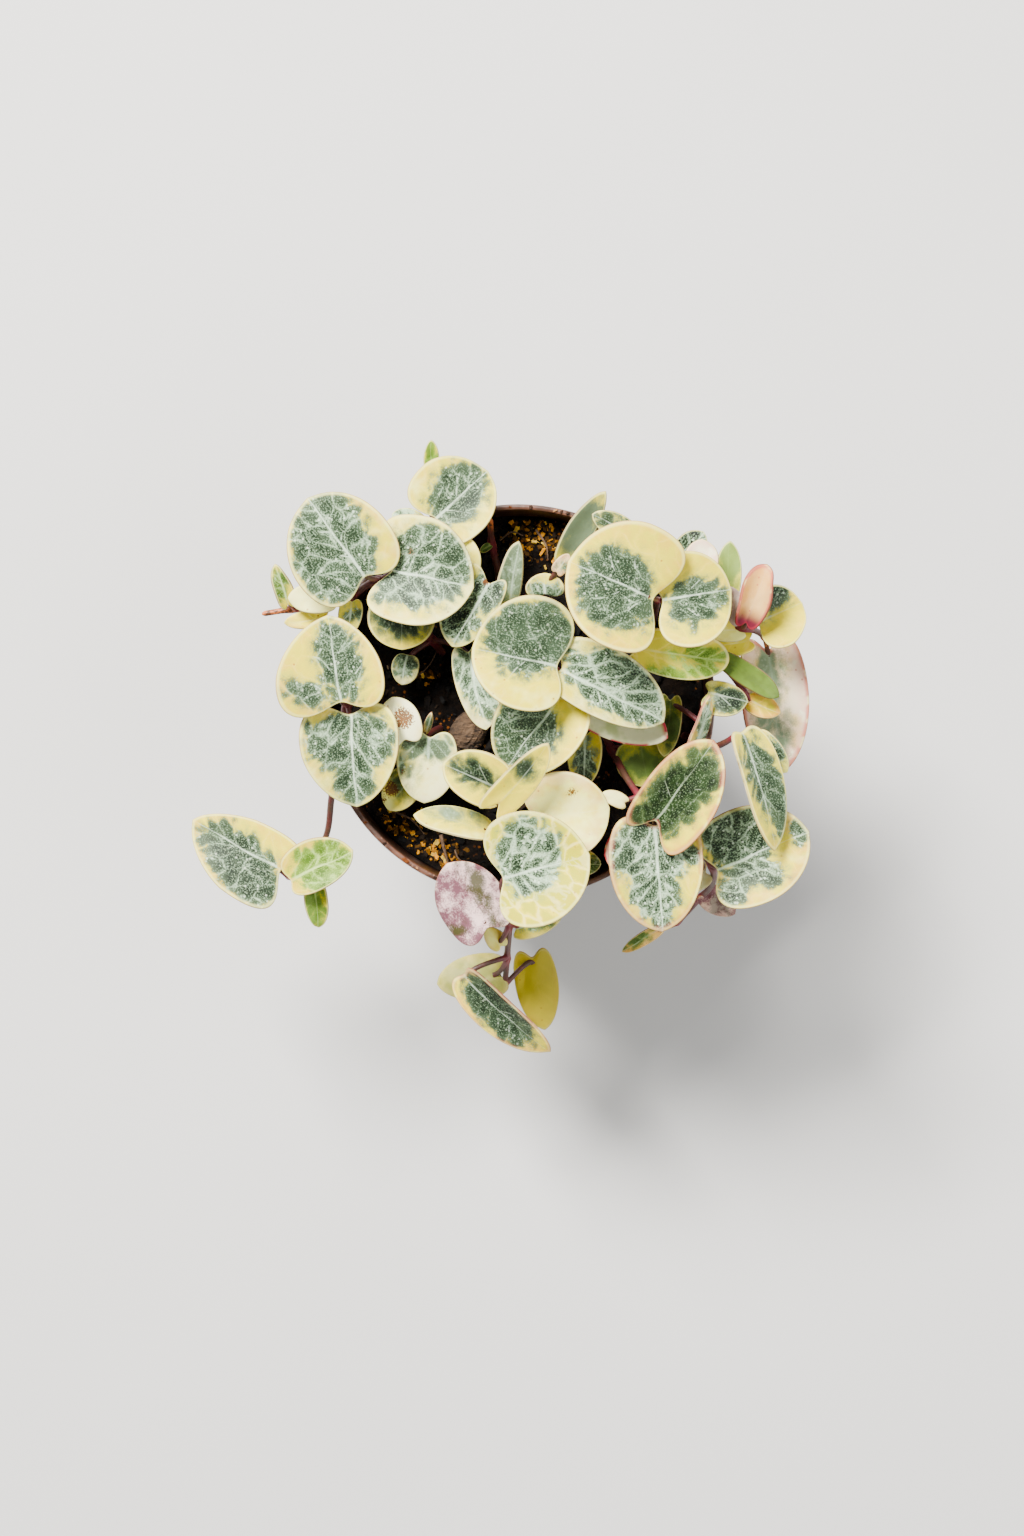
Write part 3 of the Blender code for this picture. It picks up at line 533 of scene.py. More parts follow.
    # Left, inside: three pale leaves and a bud beside the tuber
    "vine_spotted": (
        [(440, 729, -7), (434, 731, -2), (424, 737, 2)],
        [
            blade(2, (405, 740, 7.5), (392, 697, 7.5), 22, 22, yellow=0.1,
                  spots=[(403, 719, 14), (396, 712, 6)], mottle=0.6),
            blade(2, (430, 737, 5.5), (424, 803, 3.5), 30, 31,
                  green=[(424, 743, 34, 13, 8), (402, 764, 4, 15, 20), (414, 757, 9, 3, -30),
                         (410, 776, 3, 9, 15)], silver=0.8, dark=0.3, yellow=0.15, plain=0.4,
                  spots=[(403, 772, 5)]),
            blade(2, (411, 777, 0.5), (388, 810, 1), 18, 20, yellow=0.3,
                  green=[(398, 784, 5, 12, -35)], dark=0.5, lime=0.3, plain=0.6,
                  spots=[(391, 789, 11), (384, 800, 7)]),
            blade(2, (426, 731, 4), (432, 712, 6.5), 4, 4,
                  green=[(430, 720, 7, 10, 0)], dark=0.3, pink=0.8, silver=0.0),
        ],
    ),
    # Left of the middle: a round leaf, a new leaf and a hidden one
    "vine_inner_left": (
        [(442, 652, -7), (432, 640, -1.5), (418, 615, 3), (405, 598, 5)],
        [
            blade(3, (402, 601, 6.5), (402, 650, 6), 35, 35,
                  green=[(402, 615, 34, 22, 0)], dark=0.9, silver=0.25, yellow=0.8, plain=0.4),
            blade(1, (408, 655, -1), (402, 685, -1), 14, 14, notch=0.12,
                  green=[(403, 665, 12, 12, 0)], silver=0.4, dark=0.4, yellow=0.1),
            blade(1, (468, 652, 5), (486, 730, 5), 25, 20,
                  green=[(478, 682, 20, 36, -25)], silver=0.8, dark=0.3, yellow=0.1),
        ],
    ),
}


def outline(form, rho, phi):
    """The flat blade: notch at the origin, midrib along +X, phi 0 at the tip."""
    reach = form["length"] / (2 - form["notch"] + form["point"])
    centre = reach * (1 - form["notch"])
    off_tip = np.minimum(phi, tau - phi)
    radius = (1 - form["notch"] * np.exp(-((phi - pi) / NOTCH_WIDTH) ** 2)
              + form["point"] * np.exp(-off_tip / POINT_WIDTH))
    back = LOBE_REACH * form["lobe"] * np.sin(phi) ** 2 * np.clip(-np.cos(phi), 0, 1)
    half = np.where(np.sin(phi) >= 0, form["left"], form["right"])
    x = centre + reach * rho * (np.cos(phi) * radius - back)
    y = half * rho * np.sin(phi) * radius * (1 - form["egg"] * np.cos(phi))
    return x, y


def curl(run, turn):
    """Follow a strip whose slope at each distance is turn(distance)."""
    steps = np.linspace(0, max(run.max(), TINY), CURL_STEPS + 1)
    middle = turn((steps[1:] + steps[:-1]) / 2)
    width = steps[1] - steps[0]
    along = np.concatenate([[0], np.cumsum(np.cos(middle) * width)])
    up = np.concatenate([[0], np.cumsum(np.sin(middle) * width)])
    return np.interp(run, steps, along), np.interp(run, steps, up), turn(run)


def shaped(form, x, y, height):
    """Fold the blade along its midrib, cup it across and arch it to its tip."""
    fold, cup, arch = radians(form["fold"]), radians(form["cup"]), radians(form["arch"])
    half = max(form["left"], form["right"])
    along, up, slope = curl(np.abs(y), lambda run: fold * np.tanh(run / CREASE)
                            + cup * (run / half) ** 2)
    side = np.sign(y) * (along - height * np.sin(slope))
    rise = up + height * np.cos(slope)
    along, up, slope = curl(np.maximum(x, 0), lambda run: -arch * run / form["length"])
    forward = np.where(x < 0, x, along) - rise * np.sin(slope)
    return np.stack([forward, side, up + rise * np.cos(slope)], axis=-1)


def turned(form):
    """The rotation that points the blade from its notch to its tip."""
    line = form["tip"] - form["base"]
    lift = radians(form["arch"]) / 2 * (-1 if form["flip"] else 1)
    heading = np.arctan2(line[1], line[0])
    pitch = np.arcsin(line[2] / np.linalg.norm(line)) + lift
    roll = radians(form["roll"]) + (pi if form["flip"] else 0)
    about_z = np.array([[cos(heading), -sin(heading), 0],
                        [sin(heading), cos(heading), 0],
                        [0, 0, 1]])
    about_y = np.array([[cos(pitch), 0, -sin(pitch)],
                        [0, 1, 0],
                        [sin(pitch), 0, cos(pitch)]])
    about_x = np.array([[1, 0, 0],
                        [0, cos(roll), -sin(roll)],
                        [0, sin(roll), cos(roll)]])
    return about_z @ about_y @ about_x


def placed(form, x, y, height):
    """Points of the blade, in millimetres from the centre of the rim."""
    return shaped(form, x, y, height) @ turned(form).T + form["base"]


# Modelling helpers


def deselect_all():
    """Nothing stays selected, so that an operator acts on the new piece alone."""
    for piece in bpy.context.selected_objects:
        piece.select_set(False)


def pick(piece):
    """Make this piece the selected and active one."""
    deselect_all()
    piece.select_set(True)
    bpy.context.view_layer.objects.active = piece


def corners(piece):
    """The piece's vertices, one row each."""
    flat = np.empty(len(piece.data.vertices) * 3)
    piece.data.vertices.foreach_get("co", flat)
    return flat.reshape(-1, 3)


def set_corners(piece, points):
    """Move the piece's vertices to points in millimetres from the centre of the rim."""
    places = (points + POT_HEIGHT * UP) * MM
    piece.data.vertices.foreach_set("co", places.astype(np.float32).ravel())
    piece.data.update()


def note(piece, name, values):
    """Keep a number or a triple at each vertex, for the material to read."""
    kind = "FLOAT" if values.ndim == 1 else "FLOAT_VECTOR"
    attribute = piece.data.attributes.new(name, kind, "POINT")
    field = "value" if values.ndim == 1 else "vector"
    attribute.data.foreach_set(field, values.astype(np.float32).ravel())


def settle(piece, material, slot, *nodes):
    """Finish a piece: its material, its smooth shading and its place in the part."""
    piece.data.materials.clear()
    piece.data.materials.append(material)
    pick(piece)
    bpy.ops.object.shade_smooth()
    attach(piece, "root")
    if nodes:
        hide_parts(*nodes)


def turned_up(name, sides, profile):
    """A round piece: a circle, drawn up and in from ring to ring of its profile.

    The profile is radii and heights in millimetres above the pot's foot. A radius
    of 0 closes it to a point.
    """
    deselect_all()
    start, foot = profile[0]
    bpy.ops.mesh.primitive_circle_add(vertices=sides, radius=start * MM,
                                      location=(0, 0, foot * MM))
    piece = bpy.context.object
    piece.name = name
    bpy.ops.object.mode_set(mode="EDIT")
    bpy.ops.mesh.select_all(action="SELECT")
    radius, height = start, foot
    for new_radius, new_height in profile[1:]:
        rise = (0, 0, (new_height - height) * MM)
        bpy.ops.mesh.extrude_edges_move(TRANSFORM_OT_translate={"value": rise})
        if new_radius == 0:
            bpy.ops.mesh.merge(type="CENTER")
            break
        share = new_radius / radius
        bpy.ops.transform.resize(value=(share, share, 1))
        radius, height = new_radius, new_height
    bpy.ops.object.mode_set(mode="OBJECT")
    bpy.ops.object.transform_apply(location=True, rotation=True, scale=True)
    return piece


def close_foot(piece):
    """Close the open ring at the foot of a round piece and point its faces outwards."""
    pick(piece)
    bpy.ops.object.mode_set(mode="EDIT")
    bpy.ops.mesh.select_all(action="DESELECT")
    bpy.ops.mesh.select_non_manifold()
    bpy.ops.mesh.edge_face_add()
    bpy.ops.mesh.select_all(action="SELECT")
    bpy.ops.mesh.normals_make_consistent(inside=False)
    bpy.ops.object.mode_set(mode="OBJECT")


# Materials


class Recipe:
    """A material, with its nodes wired as they are added."""

    def __init__(self, name):
        self.material = bpy.data.materials.new(name)
        self.material.use_nodes = True
        self.tree = self.material.node_tree
        self.shader = self.tree.nodes["Principled BSDF"]

    def feed(self, socket, value):
        """Set a socket to a number or colour, or wire another node's output to it."""
        if isinstance(value, bpy.types.NodeSocket):
            self.tree.links.new(value, socket)
        elif isinstance(value, tuple) and len(socket.default_value) == 4:
            socket.default_value = (*value, 1)
        else:
            socket.default_value = value

    def node(self, kind, feeds, **settings):
        """A new node, its settings and what feeds its sockets."""
        made = self.tree.nodes.new(kind)
        for key, value in settings.items():
            setattr(made, key, value)
        for key, value in feeds.items():
            self.feed(made.inputs[key], value)
        return made

    def reading(self, name, part="Vector"):
        """An attribute of the mesh."""
        return self.node("ShaderNodeAttribute", {}, attribute_name=name).outputs[part]

    def place(self):
        """Where a point of the piece is, in metres."""
        return self.node("ShaderNodeTexCoord", {}).outputs["Object"]

    def split(self, vector):
        """A vector's three numbers."""
        return self.node("ShaderNodeSeparateXYZ", {0: vector}).outputs

    def maths(self, operation, first, second=0.0, third=0.0):
        """A sum on numbers."""
        feeds = {0: first, 1: second, 2: third}
        return self.node("ShaderNodeMath", feeds, operation=operation).outputs[0]

    def times(self, first, second):
        """One number times another."""
        return self.maths("MULTIPLY", first, second)

    def plus(self, first, second):
        """One number and another."""
        return self.maths("ADD", first, second)

    def scaled(self, value, gain, start):
        """A number times a gain, added to a start."""
        return self.maths("MULTIPLY_ADD", value, gain, start)

    def rest(self, share):
        """What a share leaves of one."""
        return self.maths("SUBTRACT", 1.0, share)

    def ramp(self, value, low, high, start=0.0, end=1.0):
        """A smooth step from start to end as the value goes from low to high."""
        feeds = {0: value, 1: low, 2: high, 3: start, 4: end}
        return self.node("ShaderNodeMapRange", feeds,
                         interpolation_type="SMOOTHSTEP").outputs[0]

    def mix(self, share, first, second, blend="MIX"):
        """One colour over another."""
        return self.node("ShaderNodeMix", {0: share, 6: first, 7: second},
                         data_type="RGBA", blend_type=blend).outputs[2]

    def cloud(self, place, scale, detail=2.0, rough=0.5):
        """A soft noise from 0 to 1."""
        feeds = {"Vector": place, "Scale": scale, "Detail": detail, "Roughness": rough}
        return self.node("ShaderNodeTexNoise", feeds).outputs[0]

    def tints(self, place, scale, detail=2.0):
        """Three soft noises from 0 to 1, each its own."""
        feeds = {"Vector": place, "Scale": scale, "Detail": detail}
        return self.node("ShaderNodeTexNoise", feeds).outputs[1]

    def cells(self, place, scale, feature="F1", flat=False):
        """The distance in a pattern of cells."""
        feeds = {"Vector": place, "Scale": scale}
        dimensions = "2D" if flat else "3D"
        return self.node("ShaderNodeTexVoronoi", feeds, feature=feature,
                         voronoi_dimensions=dimensions).outputs["Distance"]

    def relief(self, height, distance, strength=1.0):
        """Bumps of a height in metres."""
        feeds = {"Height": height, "Distance": distance, "Strength": strength}
        bump = self.node("ShaderNodeBump", feeds)
        self.feed(self.shader.inputs["Normal"], bump.outputs[0])

    def finish(self, colour, roughness, **constants):
        """The colour, the roughness and the shader's own fixed values."""
        self.feed(self.shader.inputs["Base Color"], colour)
        self.feed(self.shader.inputs["Roughness"], roughness)
        for key, value in constants.items():
            self.shader.inputs[key.replace("_", " ")].default_value = value
        return self.material


def paint(red, green, blue):
    """A colour as the photo shows it, as the base colour that shows it in this light."""
    seen = np.array([red, green, blue]) / 255
    plain = np.where(seen <= 0.04045, seen / 12.92, ((seen + 0.055) / 1.055) ** 2.4)
    lit = plain / (1 - np.clip(plain, 0, 0.98) ** FILM_TURN) / LIGHT_GAIN
    return tuple(float(part) for part in PALEST * lit / np.sqrt(1 + lit ** 2))


class LeafSkin(Recipe):
    """The blades' recipe, which reads each leaf's own looks from its mesh."""

    def __init__(self, name):
        super().__init__(name)
        self.grain = self.reading("blade_grain")
        self.lean, self.across, self.bent = self.split(self.reading("vein_near"))
        self.rho, self.along, self.level = self.split(self.reading("blade_share"))
        self.inside = self.reading("green_inside", "Fac")
        self.silver, self.yellow, self.pink = self.split(self.reading("leaf_looks"))
        self.dark, self.lime, self.mottle = self.split(self.reading("leaf_tones"))
        self.rim, self.shine, self.plain = self.split(self.reading("leaf_edges"))
        self.marked = self.rest(self.plain)
        self.rosy = self.times(self.times(self.pink, self.pink), self.times(self.pink, 0.5))
        self.salt = self.cloud(self.grain, 3.8, 2, 0.65)
        self.patchy, self.tidal, self.soft = self.split(self.tints(self.grain, 0.42, 2))

    def limed(self, silvery, limy):
        """A colour of a grey-green leaf, and what it is on a lime one."""
        return self.mix(self.lime, paint(*silvery), paint(*limy))

    def net(self, place, scale):
        """How far a point is from the lines of a net, in millimetres."""
        return self.times(self.cells(place, scale, "DISTANCE_TO_EDGE", flat=True), 1 / scale)

    def find_veins(self):
        """The midrib, side veins that lean to the tip, and a net of cells between them."""
        maths, ramp, times, plus = self.maths, self.ramp, self.times, self.plus
        rib_gap = maths("SUBTRACT", maths("ABSOLUTE", self.bent),
                        ramp(self.along, 0, 0.9, 0.14, 0.0))
        far_side = times(maths("GREATER_THAN", self.across, 0.0), 0.45)
        turn = maths("FRACT", self.scaled(self.lean, 1 / SIDE_VEINS, far_side))
        side_gap = times(maths("ABSOLUTE", maths("SUBTRACT", turn, 0.5)), 0.72 * SIDE_VEINS)
        side_gap = plus(side_gap, plus(ramp(self.rho, 0.45, 0.95, 0.0, 0.4),
                                       ramp(self.soft, 0.42, 0.56, 0.3, 0.0)))
        ribs = maths("SMOOTH_MIN", rib_gap, side_gap, 0.3)
        feeds = {0: self.tints(self.grain, 0.55, 1), 1: (NET_SWAY,) * 3,
                 2: self.reading("vein_place")}
        swayed = self.node("ShaderNodeVectorMath", feeds, operation="MULTIPLY_ADD").outputs[0]
        self.net_gap = self.net(swayed, NET)
        small_gap = plus(self.net(swayed, FINE_NET), ramp(self.tidal, 0.5, 0.64, 0.6, 0.0))
        nearest = maths("SMOOTH_MIN", maths("SMOOTH_MIN", ribs, self.net_gap, 0.25),
                        small_gap, 0.1)
        spread = self.scaled(self.silver, 0.9, 0.3)
        least = self.scaled(times(self.silver, self.silver), 0.38, -0.1)
        width = self.scaled(maths("SUBTRACT", self.patchy, 0.5), spread, least)
        past = maths("SUBTRACT", nearest, width)
        self.river = times(ramp(past, -0.1, 0.18, 1, 0), self.marked)
        self.halo = times(ramp(past, 0.0, 1.0, 1, 0), self.marked)
        self.core = times(ramp(ribs, 0.0, 0.11, 1, 0),
                          times(self.marked, ramp(self.tidal, 0.36, 0.56, 0.35, 1)))

    def find_patch(self):
        """The green patch: scalloped by the cells, and soft where there is little silver."""
        cell = self.scaled(self.maths("SMOOTH_MIN", self.net_gap, 0.7, 0.5), 1.0, -0.2)
        lobes = self.scaled(self.soft, 3.2, -1.6)
        field = self.plus(self.maths("MAXIMUM", self.inside, -4.0), lobes)
        field = self.plus(self.plus(field, cell), self.scaled(self.salt, 1.7, -0.85))
        softness = self.scaled(self.rest(self.silver), 0.7, self.scaled(self.plain, 1.6, 0.5))
        self.green = self.ramp(self.maths("DIVIDE", field, softness), -0.45, 0.6)
        self.outer = self.ramp(field, 0.2, 1.7, 0.5, 0.0)
        self.paler = self.times(self.ramp(field, -1.4, -0.1), 0.4)

    def green_part(self):
        """Deep and middle green, white grains that crowd by the veins, and silver rivers."""
        mix, ramp, times, scaled, limed = self.mix, self.ramp, self.times, self.scaled, self.limed
        deep = mix(self.dark, paint(88, 114, 78), paint(14, 28, 10))
        middle = mix(self.dark, paint(122, 146, 112), paint(40, 62, 32))
        deep = mix(self.lime, deep, mix(self.dark, paint(128, 168, 44), paint(40, 74, 6)))
        middle = mix(self.lime, middle, mix(self.dark, paint(172, 200, 80), paint(80, 124, 16)))
        colour = mix(ramp(self.patchy, 0.4, 0.6), deep, middle)
        smooth = times(times(self.plain, self.rest(self.dark)), 0.85)
        colour = mix(smooth, colour, limed((190, 202, 172), (192, 206, 116)))
        colour = mix(self.outer, colour, limed((152, 172, 132), (190, 208, 92)))
        frost = scaled(times(self.halo, self.silver), 0.16, -0.02)
        grains = ramp(self.plus(self.salt, frost), 0.5, 0.68)
        grains = times(times(grains, scaled(self.silver, 0.42, 0.34)), self.marked)
        colour = mix(grains, colour, limed((206, 220, 198), (206, 222, 120)))
        milky = times(ramp(self.salt, 0.32, 0.6, 0.55, 0.95), scaled(self.silver, 0.75, 0.25))
        colour = mix(times(self.river, milky), colour, limed((224, 234, 218), (220, 232, 162)))
        core = times(self.core, scaled(self.silver, 0.5, 0.22))
        colour = mix(core, colour, limed((238, 244, 234), (232, 240, 190)))
        blob = ramp(self.cells(self.grain, 0.8, flat=True), 0.1, 0.17, 1, 0)
        blob = times(blob, ramp(self.tidal, 0.5, 0.56))
        blob = times(blob, times(self.silver, self.marked))
        return mix(times(blob, self.rest(self.lime)), colour, paint(236, 242, 230))

    def cream_part(self):
        """Cream, yellow by the green, with paler veins and small orange specks."""
        mix, ramp, times = self.mix, self.ramp, self.times
        warm = self.plus(self.tidal, self.scaled(self.yellow, 0.85, -0.16))
        warm = ramp(self.plus(warm, ramp(self.inside, -3.2, -0.2, 0.0, 0.2)), 0.42, 0.95)
        pale = mix(ramp(self.yellow, 0.0, 0.3), paint(249, 247, 232), paint(250, 248, 198))
        colour = mix(warm, pale, paint(244, 236, 84))
        islands = self.scaled(self.tidal, 2.4, self.scaled(self.salt, 0.5, self.net_gap))
        islands = times(ramp(islands, 1.35, 2.0), times(self.mottle, self.yellow))
        colour = mix(times(islands, 0.9), colour, paint(226, 224, 20))
        veins = self.maths("MAXIMUM", self.core, times(self.river, self.mottle))
        colour = mix(times(veins, 0.3), colour, paint(252, 251, 226))
        specks = ramp(self.cells(self.grain, 0.36, flat=True), 0.025, 0.08, 1, 0)
        specks = times(specks, ramp(self.soft, 0.5, 0.6))
        colour = mix(times(specks, 0.65), colour, paint(206, 124, 44))
        return mix(self.paler, colour, self.limed((206, 214, 150), (206, 216, 86)))

    def upper_side(self):
        """Cream with a pink margin, the green over it, a bright line and a magenta foot."""
        mix, ramp, times = self.mix, self.ramp, self.times
        blush = ramp(self.plus(self.patchy, times(self.rosy, 0.6)), 0.38, 0.62)
        tinge = times(times(self.pink, blush),
                      ramp(self.rho, 0.5, 1.0, self.plus(self.rosy, 0.03), 0.6))
        colour = mix(tinge, self.cream_part(),
                     mix(self.yellow, paint(234, 166, 168), paint(246, 180, 128)))
        colour = mix(self.green, colour, self.green_part())
        line = times(ramp(self.rho, 0.925, 0.97), self.scaled(self.shine, -0.5, 0.5))
        colour = mix(line, colour, paint(250, 248, 210))
        foot = times(ramp(times(self.rim, self.pink), 0.6, 0.8),
                     ramp(self.along, 0.02, 0.34, 1, 0))
        return mix(foot, colour, paint(176, 66, 96))

    def with_brown_marks(self, colour):
        """Brown and ochre marks with ragged edges."""
        marks = self.maths("MINIMUM", self.reading("brown_inside", "Fac"), 0.9)
        marks = self.plus(self.plus(marks, self.times(self.tidal, 1.2)), -2.3)
        marks = self.ramp(self.scaled(self.salt, 2.6, marks), 0.0, 0.4)
        return self.mix(self.times(marks, 0.95), colour,
                        self.mix(self.patchy, paint(190, 120, 30), paint(96, 54, 20)))

    def underside(self, colour):
        """The blade from below: paler, with purple clouds and dull olive."""
        mix, ramp, times = self.mix, self.ramp, self.times
        fresh = mix(ramp(self.soft, 0.4, 0.62), paint(244, 248, 230), paint(212, 228, 182))
        fresh = mix(self.pink, fresh, paint(244, 232, 232))
        below = mix(0.7, colour, mix(self.lime, fresh, paint(196, 182, 44)))
        purple = self.plus(self.patchy, self.scaled(self.salt, 0.4, -0.2))
        purple = self.plus(purple, ramp(self.across, -3.0, 3.0, 0.08, -0.08))
        cloudy = times(self.rosy, ramp(purple, 0.34, 0.64, 0.2, 1.9))
        below = mix(cloudy, below, paint(160, 98, 118))
        return mix(times(self.green, times(self.dark, 1.2)), below, paint(108, 112, 44))

    def with_rim(self, colour):
        """A rose rim where a leaf has it, and a thin brown-pink edge."""
        mix, ramp, times = self.mix, self.ramp, self.times
        rose = times(times(self.rim, ramp(self.soft, 0.36, 0.5)), ramp(self.rho, 0.86, 0.97))
        edge = times(ramp(self.rho, 0.984, 0.999), self.scaled(self.pink, 0.5, 0.35))
        return mix(edge, mix(rose, colour, paint(226, 100, 128)), paint(206, 146, 112))


def leaf_material():
    """A waxy blade: cream and yellow, with a green patch, silver veins and a fine rim."""
    skin = LeafSkin("variegated_leaf_skin")
    skin.find_veins()
    skin.find_patch()
    above = skin.with_brown_marks(skin.upper_side())
    below = skin.underside(above)
    colour = skin.with_rim(skin.mix(skin.maths("LESS_THAN", skin.level, 0.0), above, below))
    skin.relief(skin.salt, 0.0001, 0.4)
    rough = skin.scaled(skin.shine, -0.3, skin.scaled(skin.soft, 0.2, 0.38))
    return skin.finish(colour, rough, Subsurface_Weight=0.05, Subsurface_Scale=0.0008,
                       Specular_IOR_Level=0.14)


def stem_material():
    """Thin stems: dull red-brown and olive, magenta at the nodes, with dry brown ends."""
    recipe = Recipe("stem_skin")
    place = recipe.place()
    patch = recipe.ramp(recipe.cloud(place, 300, 3), 0.4, 0.6)
    colour = recipe.mix(patch, paint(142, 60, 58), paint(124, 86, 60))
    streak = recipe.ramp(recipe.cloud(place, 1600, 2), 0.45, 0.7)
    colour = recipe.mix(recipe.times(streak, 0.3), colour, paint(172, 112, 100))
    near = recipe.reading("node_near", "Fac")
    colour = recipe.mix(recipe.times(near, 0.8), colour, paint(196, 72, 104))
    bark = recipe.mix(recipe.ramp(recipe.cloud(place, 1500, 3, 0.7), 0.42, 0.6),
                      paint(140, 84, 34), paint(230, 172, 96))
    colour = recipe.mix(recipe.reading("dry_end", "Fac"), colour, bark)
    recipe.relief(recipe.cloud(place, 2200, 3), 0.00008, 0.6)
    return recipe.finish(colour, 0.5)


def pot_material():
    """Thin brown nursery plastic with dust, scuffs and pale flecks; its lighter lip is partly wear,
    partly a painted highlight.
    """
    recipe = Recipe("dusty_pot_plastic")
    place = recipe.place()
    _, _, height = recipe.split(place)
    base = recipe.mix(recipe.ramp(recipe.cloud(place, 60, 4), 0.35, 0.65),
                      paint(74, 46, 34), paint(96, 62, 46))
    dust = recipe.ramp(recipe.cloud(place, 170, 6, 0.65), 0.5, 0.72)
    colour = recipe.mix(recipe.times(dust, 0.45), base, paint(150, 128, 116))
    # The top of the lip is lighter: partly wear and soil dust, partly a painted highlight where the
    # rim catches the light.
    lip = recipe.ramp(height, 0.0525, 0.0549)
    wear_and_highlight = recipe.ramp(recipe.cloud(place, 380, 4, 0.65), 0.4, 0.62, 0.3, 0.9)
    colour = recipe.mix(recipe.times(lip, wear_and_highlight), colour, paint(172, 128, 102))
    flecks = recipe.ramp(recipe.cells(place, 1500), 0.08, 0.32, 1, 0)
    where = recipe.scaled(lip, 0.1, recipe.cloud(place, 240, 3))
    flecks = recipe.times(flecks, recipe.ramp(where, 0.56, 0.64))
    colour = recipe.mix(recipe.times(flecks, 0.6), colour, paint(206, 176, 150))
    grainy = recipe.plus(recipe.cloud(place, 1500, 4),
                         recipe.times(recipe.cloud(place, 90, 3), 1.5))
    recipe.relief(grainy, 0.00012, 0.5)
    return recipe.finish(colour, recipe.ramp(dust, 0.0, 1.0, 0.34, 0.75))


def soil_material():
    """Dark damp compost, with brown and golden grains."""
    recipe = Recipe("potting_compost")
    place = recipe.place()
    colour = recipe.mix(recipe.ramp(recipe.cloud(place, 500, 5, 0.7), 0.35, 0.65),
                        paint(8, 5, 3), paint(44, 29, 16))
    grains = recipe.ramp(recipe.cells(place, 1100), 0.16, 0.34, 1, 0)
    golden = recipe.times(grains, recipe.ramp(recipe.cloud(place, 260, 2), 0.54, 0.66))
    colour = recipe.mix(golden, colour, paint(176, 116, 40))
    bump = recipe.plus(recipe.cloud(place, 900, 6, 0.7),
                       recipe.times(recipe.cells(place, 700), 0.6))
    recipe.relief(bump, 0.0006, 0.9)
    return recipe.finish(colour, recipe.ramp(recipe.cloud(place, 300, 2), 0.4, 0.6, 0.6, 0.95),
                         Specular_IOR_Level=0.12)


def chip_material():
    """Bits of bark, fibre and grit: near black, gold, orange or white."""
    recipe = Recipe("bark_and_grit")
    place = recipe.place()
    shade = recipe.ramp(recipe.cloud(place, 1400, 4, 0.7), 0.3, 0.7, 0.55, 1.25)
    grey = recipe.node("ShaderNodeCombineXYZ", {0: shade, 1: shade, 2: shade}).outputs[0]
    colour = recipe.mix(1.0, recipe.reading("chip_tint"), grey, "MULTIPLY")
    recipe.relief(recipe.cloud(place, 2600, 4, 0.7), 0.0002, 0.8)
    return recipe.finish(colour, 0.8, Specular_IOR_Level=0.2)


def tuber_material():
    """Grey-brown corky skin with pale flaking ridges and a pink cast."""
    recipe = Recipe("corky_tuber_skin")
    place = recipe.place()
    turned_place = recipe.node("ShaderNodeMapping", {
        "Vector": place, "Rotation": (0, 0, radians(-TUBER_TURN)),
        "Scale": (0.4, 1.6, 1)}).outputs[0]
    patch = recipe.ramp(recipe.cloud(turned_place, 420, 5, 0.65), 0.35, 0.65)
    colour = recipe.mix(patch, paint(96, 72, 46), paint(172, 142, 106))
    flake = recipe.ramp(recipe.cloud(turned_place, 1100, 4, 0.7), 0.52, 0.7)
    colour = recipe.mix(recipe.times(flake, 0.7), colour, paint(214, 188, 150))
    pit = recipe.ramp(recipe.cloud(place, 800, 3, 0.6), 0.32, 0.42, 1, 0)
    colour = recipe.mix(recipe.times(pit, 0.7), colour, paint(58, 38, 30))
    bump = recipe.plus(recipe.cloud(turned_place, 900, 6, 0.75), recipe.times(flake, 0.4))
    recipe.relief(bump, 0.0009, 1.0)
    return recipe.finish(colour, 0.85)


def floor_material():
    """A pale matt studio floor with a faint mottle."""
    recipe = Recipe("studio_floor")
    mottle = recipe.cloud(recipe.place(), 12, 3)
    return recipe.finish(recipe.mix(mottle, (0.6, 0.585, 0.56), (0.66, 0.645, 0.62)), 0.9)


# Leaves


def blade_pattern(name, sides, rings):
    """The pattern that leaves are copied from: a round slab of radius 1, from -1 to 1.

    It is a circle, drawn in ring by ring and closed, then extruded down.
    """
    deselect_all()
    bpy.ops.mesh.primitive_circle_add(vertices=sides, radius=1, location=(0, 0, 1))
    pattern = bpy.context.object
    pattern.name = name
    bpy.ops.object.mode_set(mode="EDIT")
    bpy.ops.mesh.select_all(action="SELECT")
    reach = 1
    for ring in rings:
        bpy.ops.mesh.extrude_edges_move()
        bpy.ops.transform.resize(value=(ring / reach, ring / reach, 1))
        reach = ring
    bpy.ops.mesh.extrude_edges_move()
    bpy.ops.mesh.merge(type="CENTER")
    bpy.ops.mesh.select_all(action="SELECT")
    bpy.ops.mesh.extrude_region_move(TRANSFORM_OT_translate={"value": (0, 0, -2)})
    bpy.ops.mesh.select_all(action="SELECT")
    bpy.ops.mesh.normals_make_consistent(inside=False)
    bpy.ops.object.mode_set(mode="OBJECT")
    bpy.ops.object.transform_apply(location=True, rotation=True, scale=True)
    return pattern


def patches_inside(points, patches):
    """How far inside its patches each point of a leaf is seen, in millimetres."""
    across, down, here = seen_at(points)
    inside = np.full(len(points), BARE)
    for middle_x, middle_y, reach_x, reach_y, turn in patches:
        lean = radians(turn)
        right, low = across - middle_x, down - middle_y
        along = right * cos(lean) + low * sin(lean)
        aside = low * cos(lean) - right * sin(lean)
        share = np.hypot(along / reach_x, aside / reach_y)
        inside = np.maximum(inside, (1 - share) * min(reach_x, reach_y) * here)
    return inside


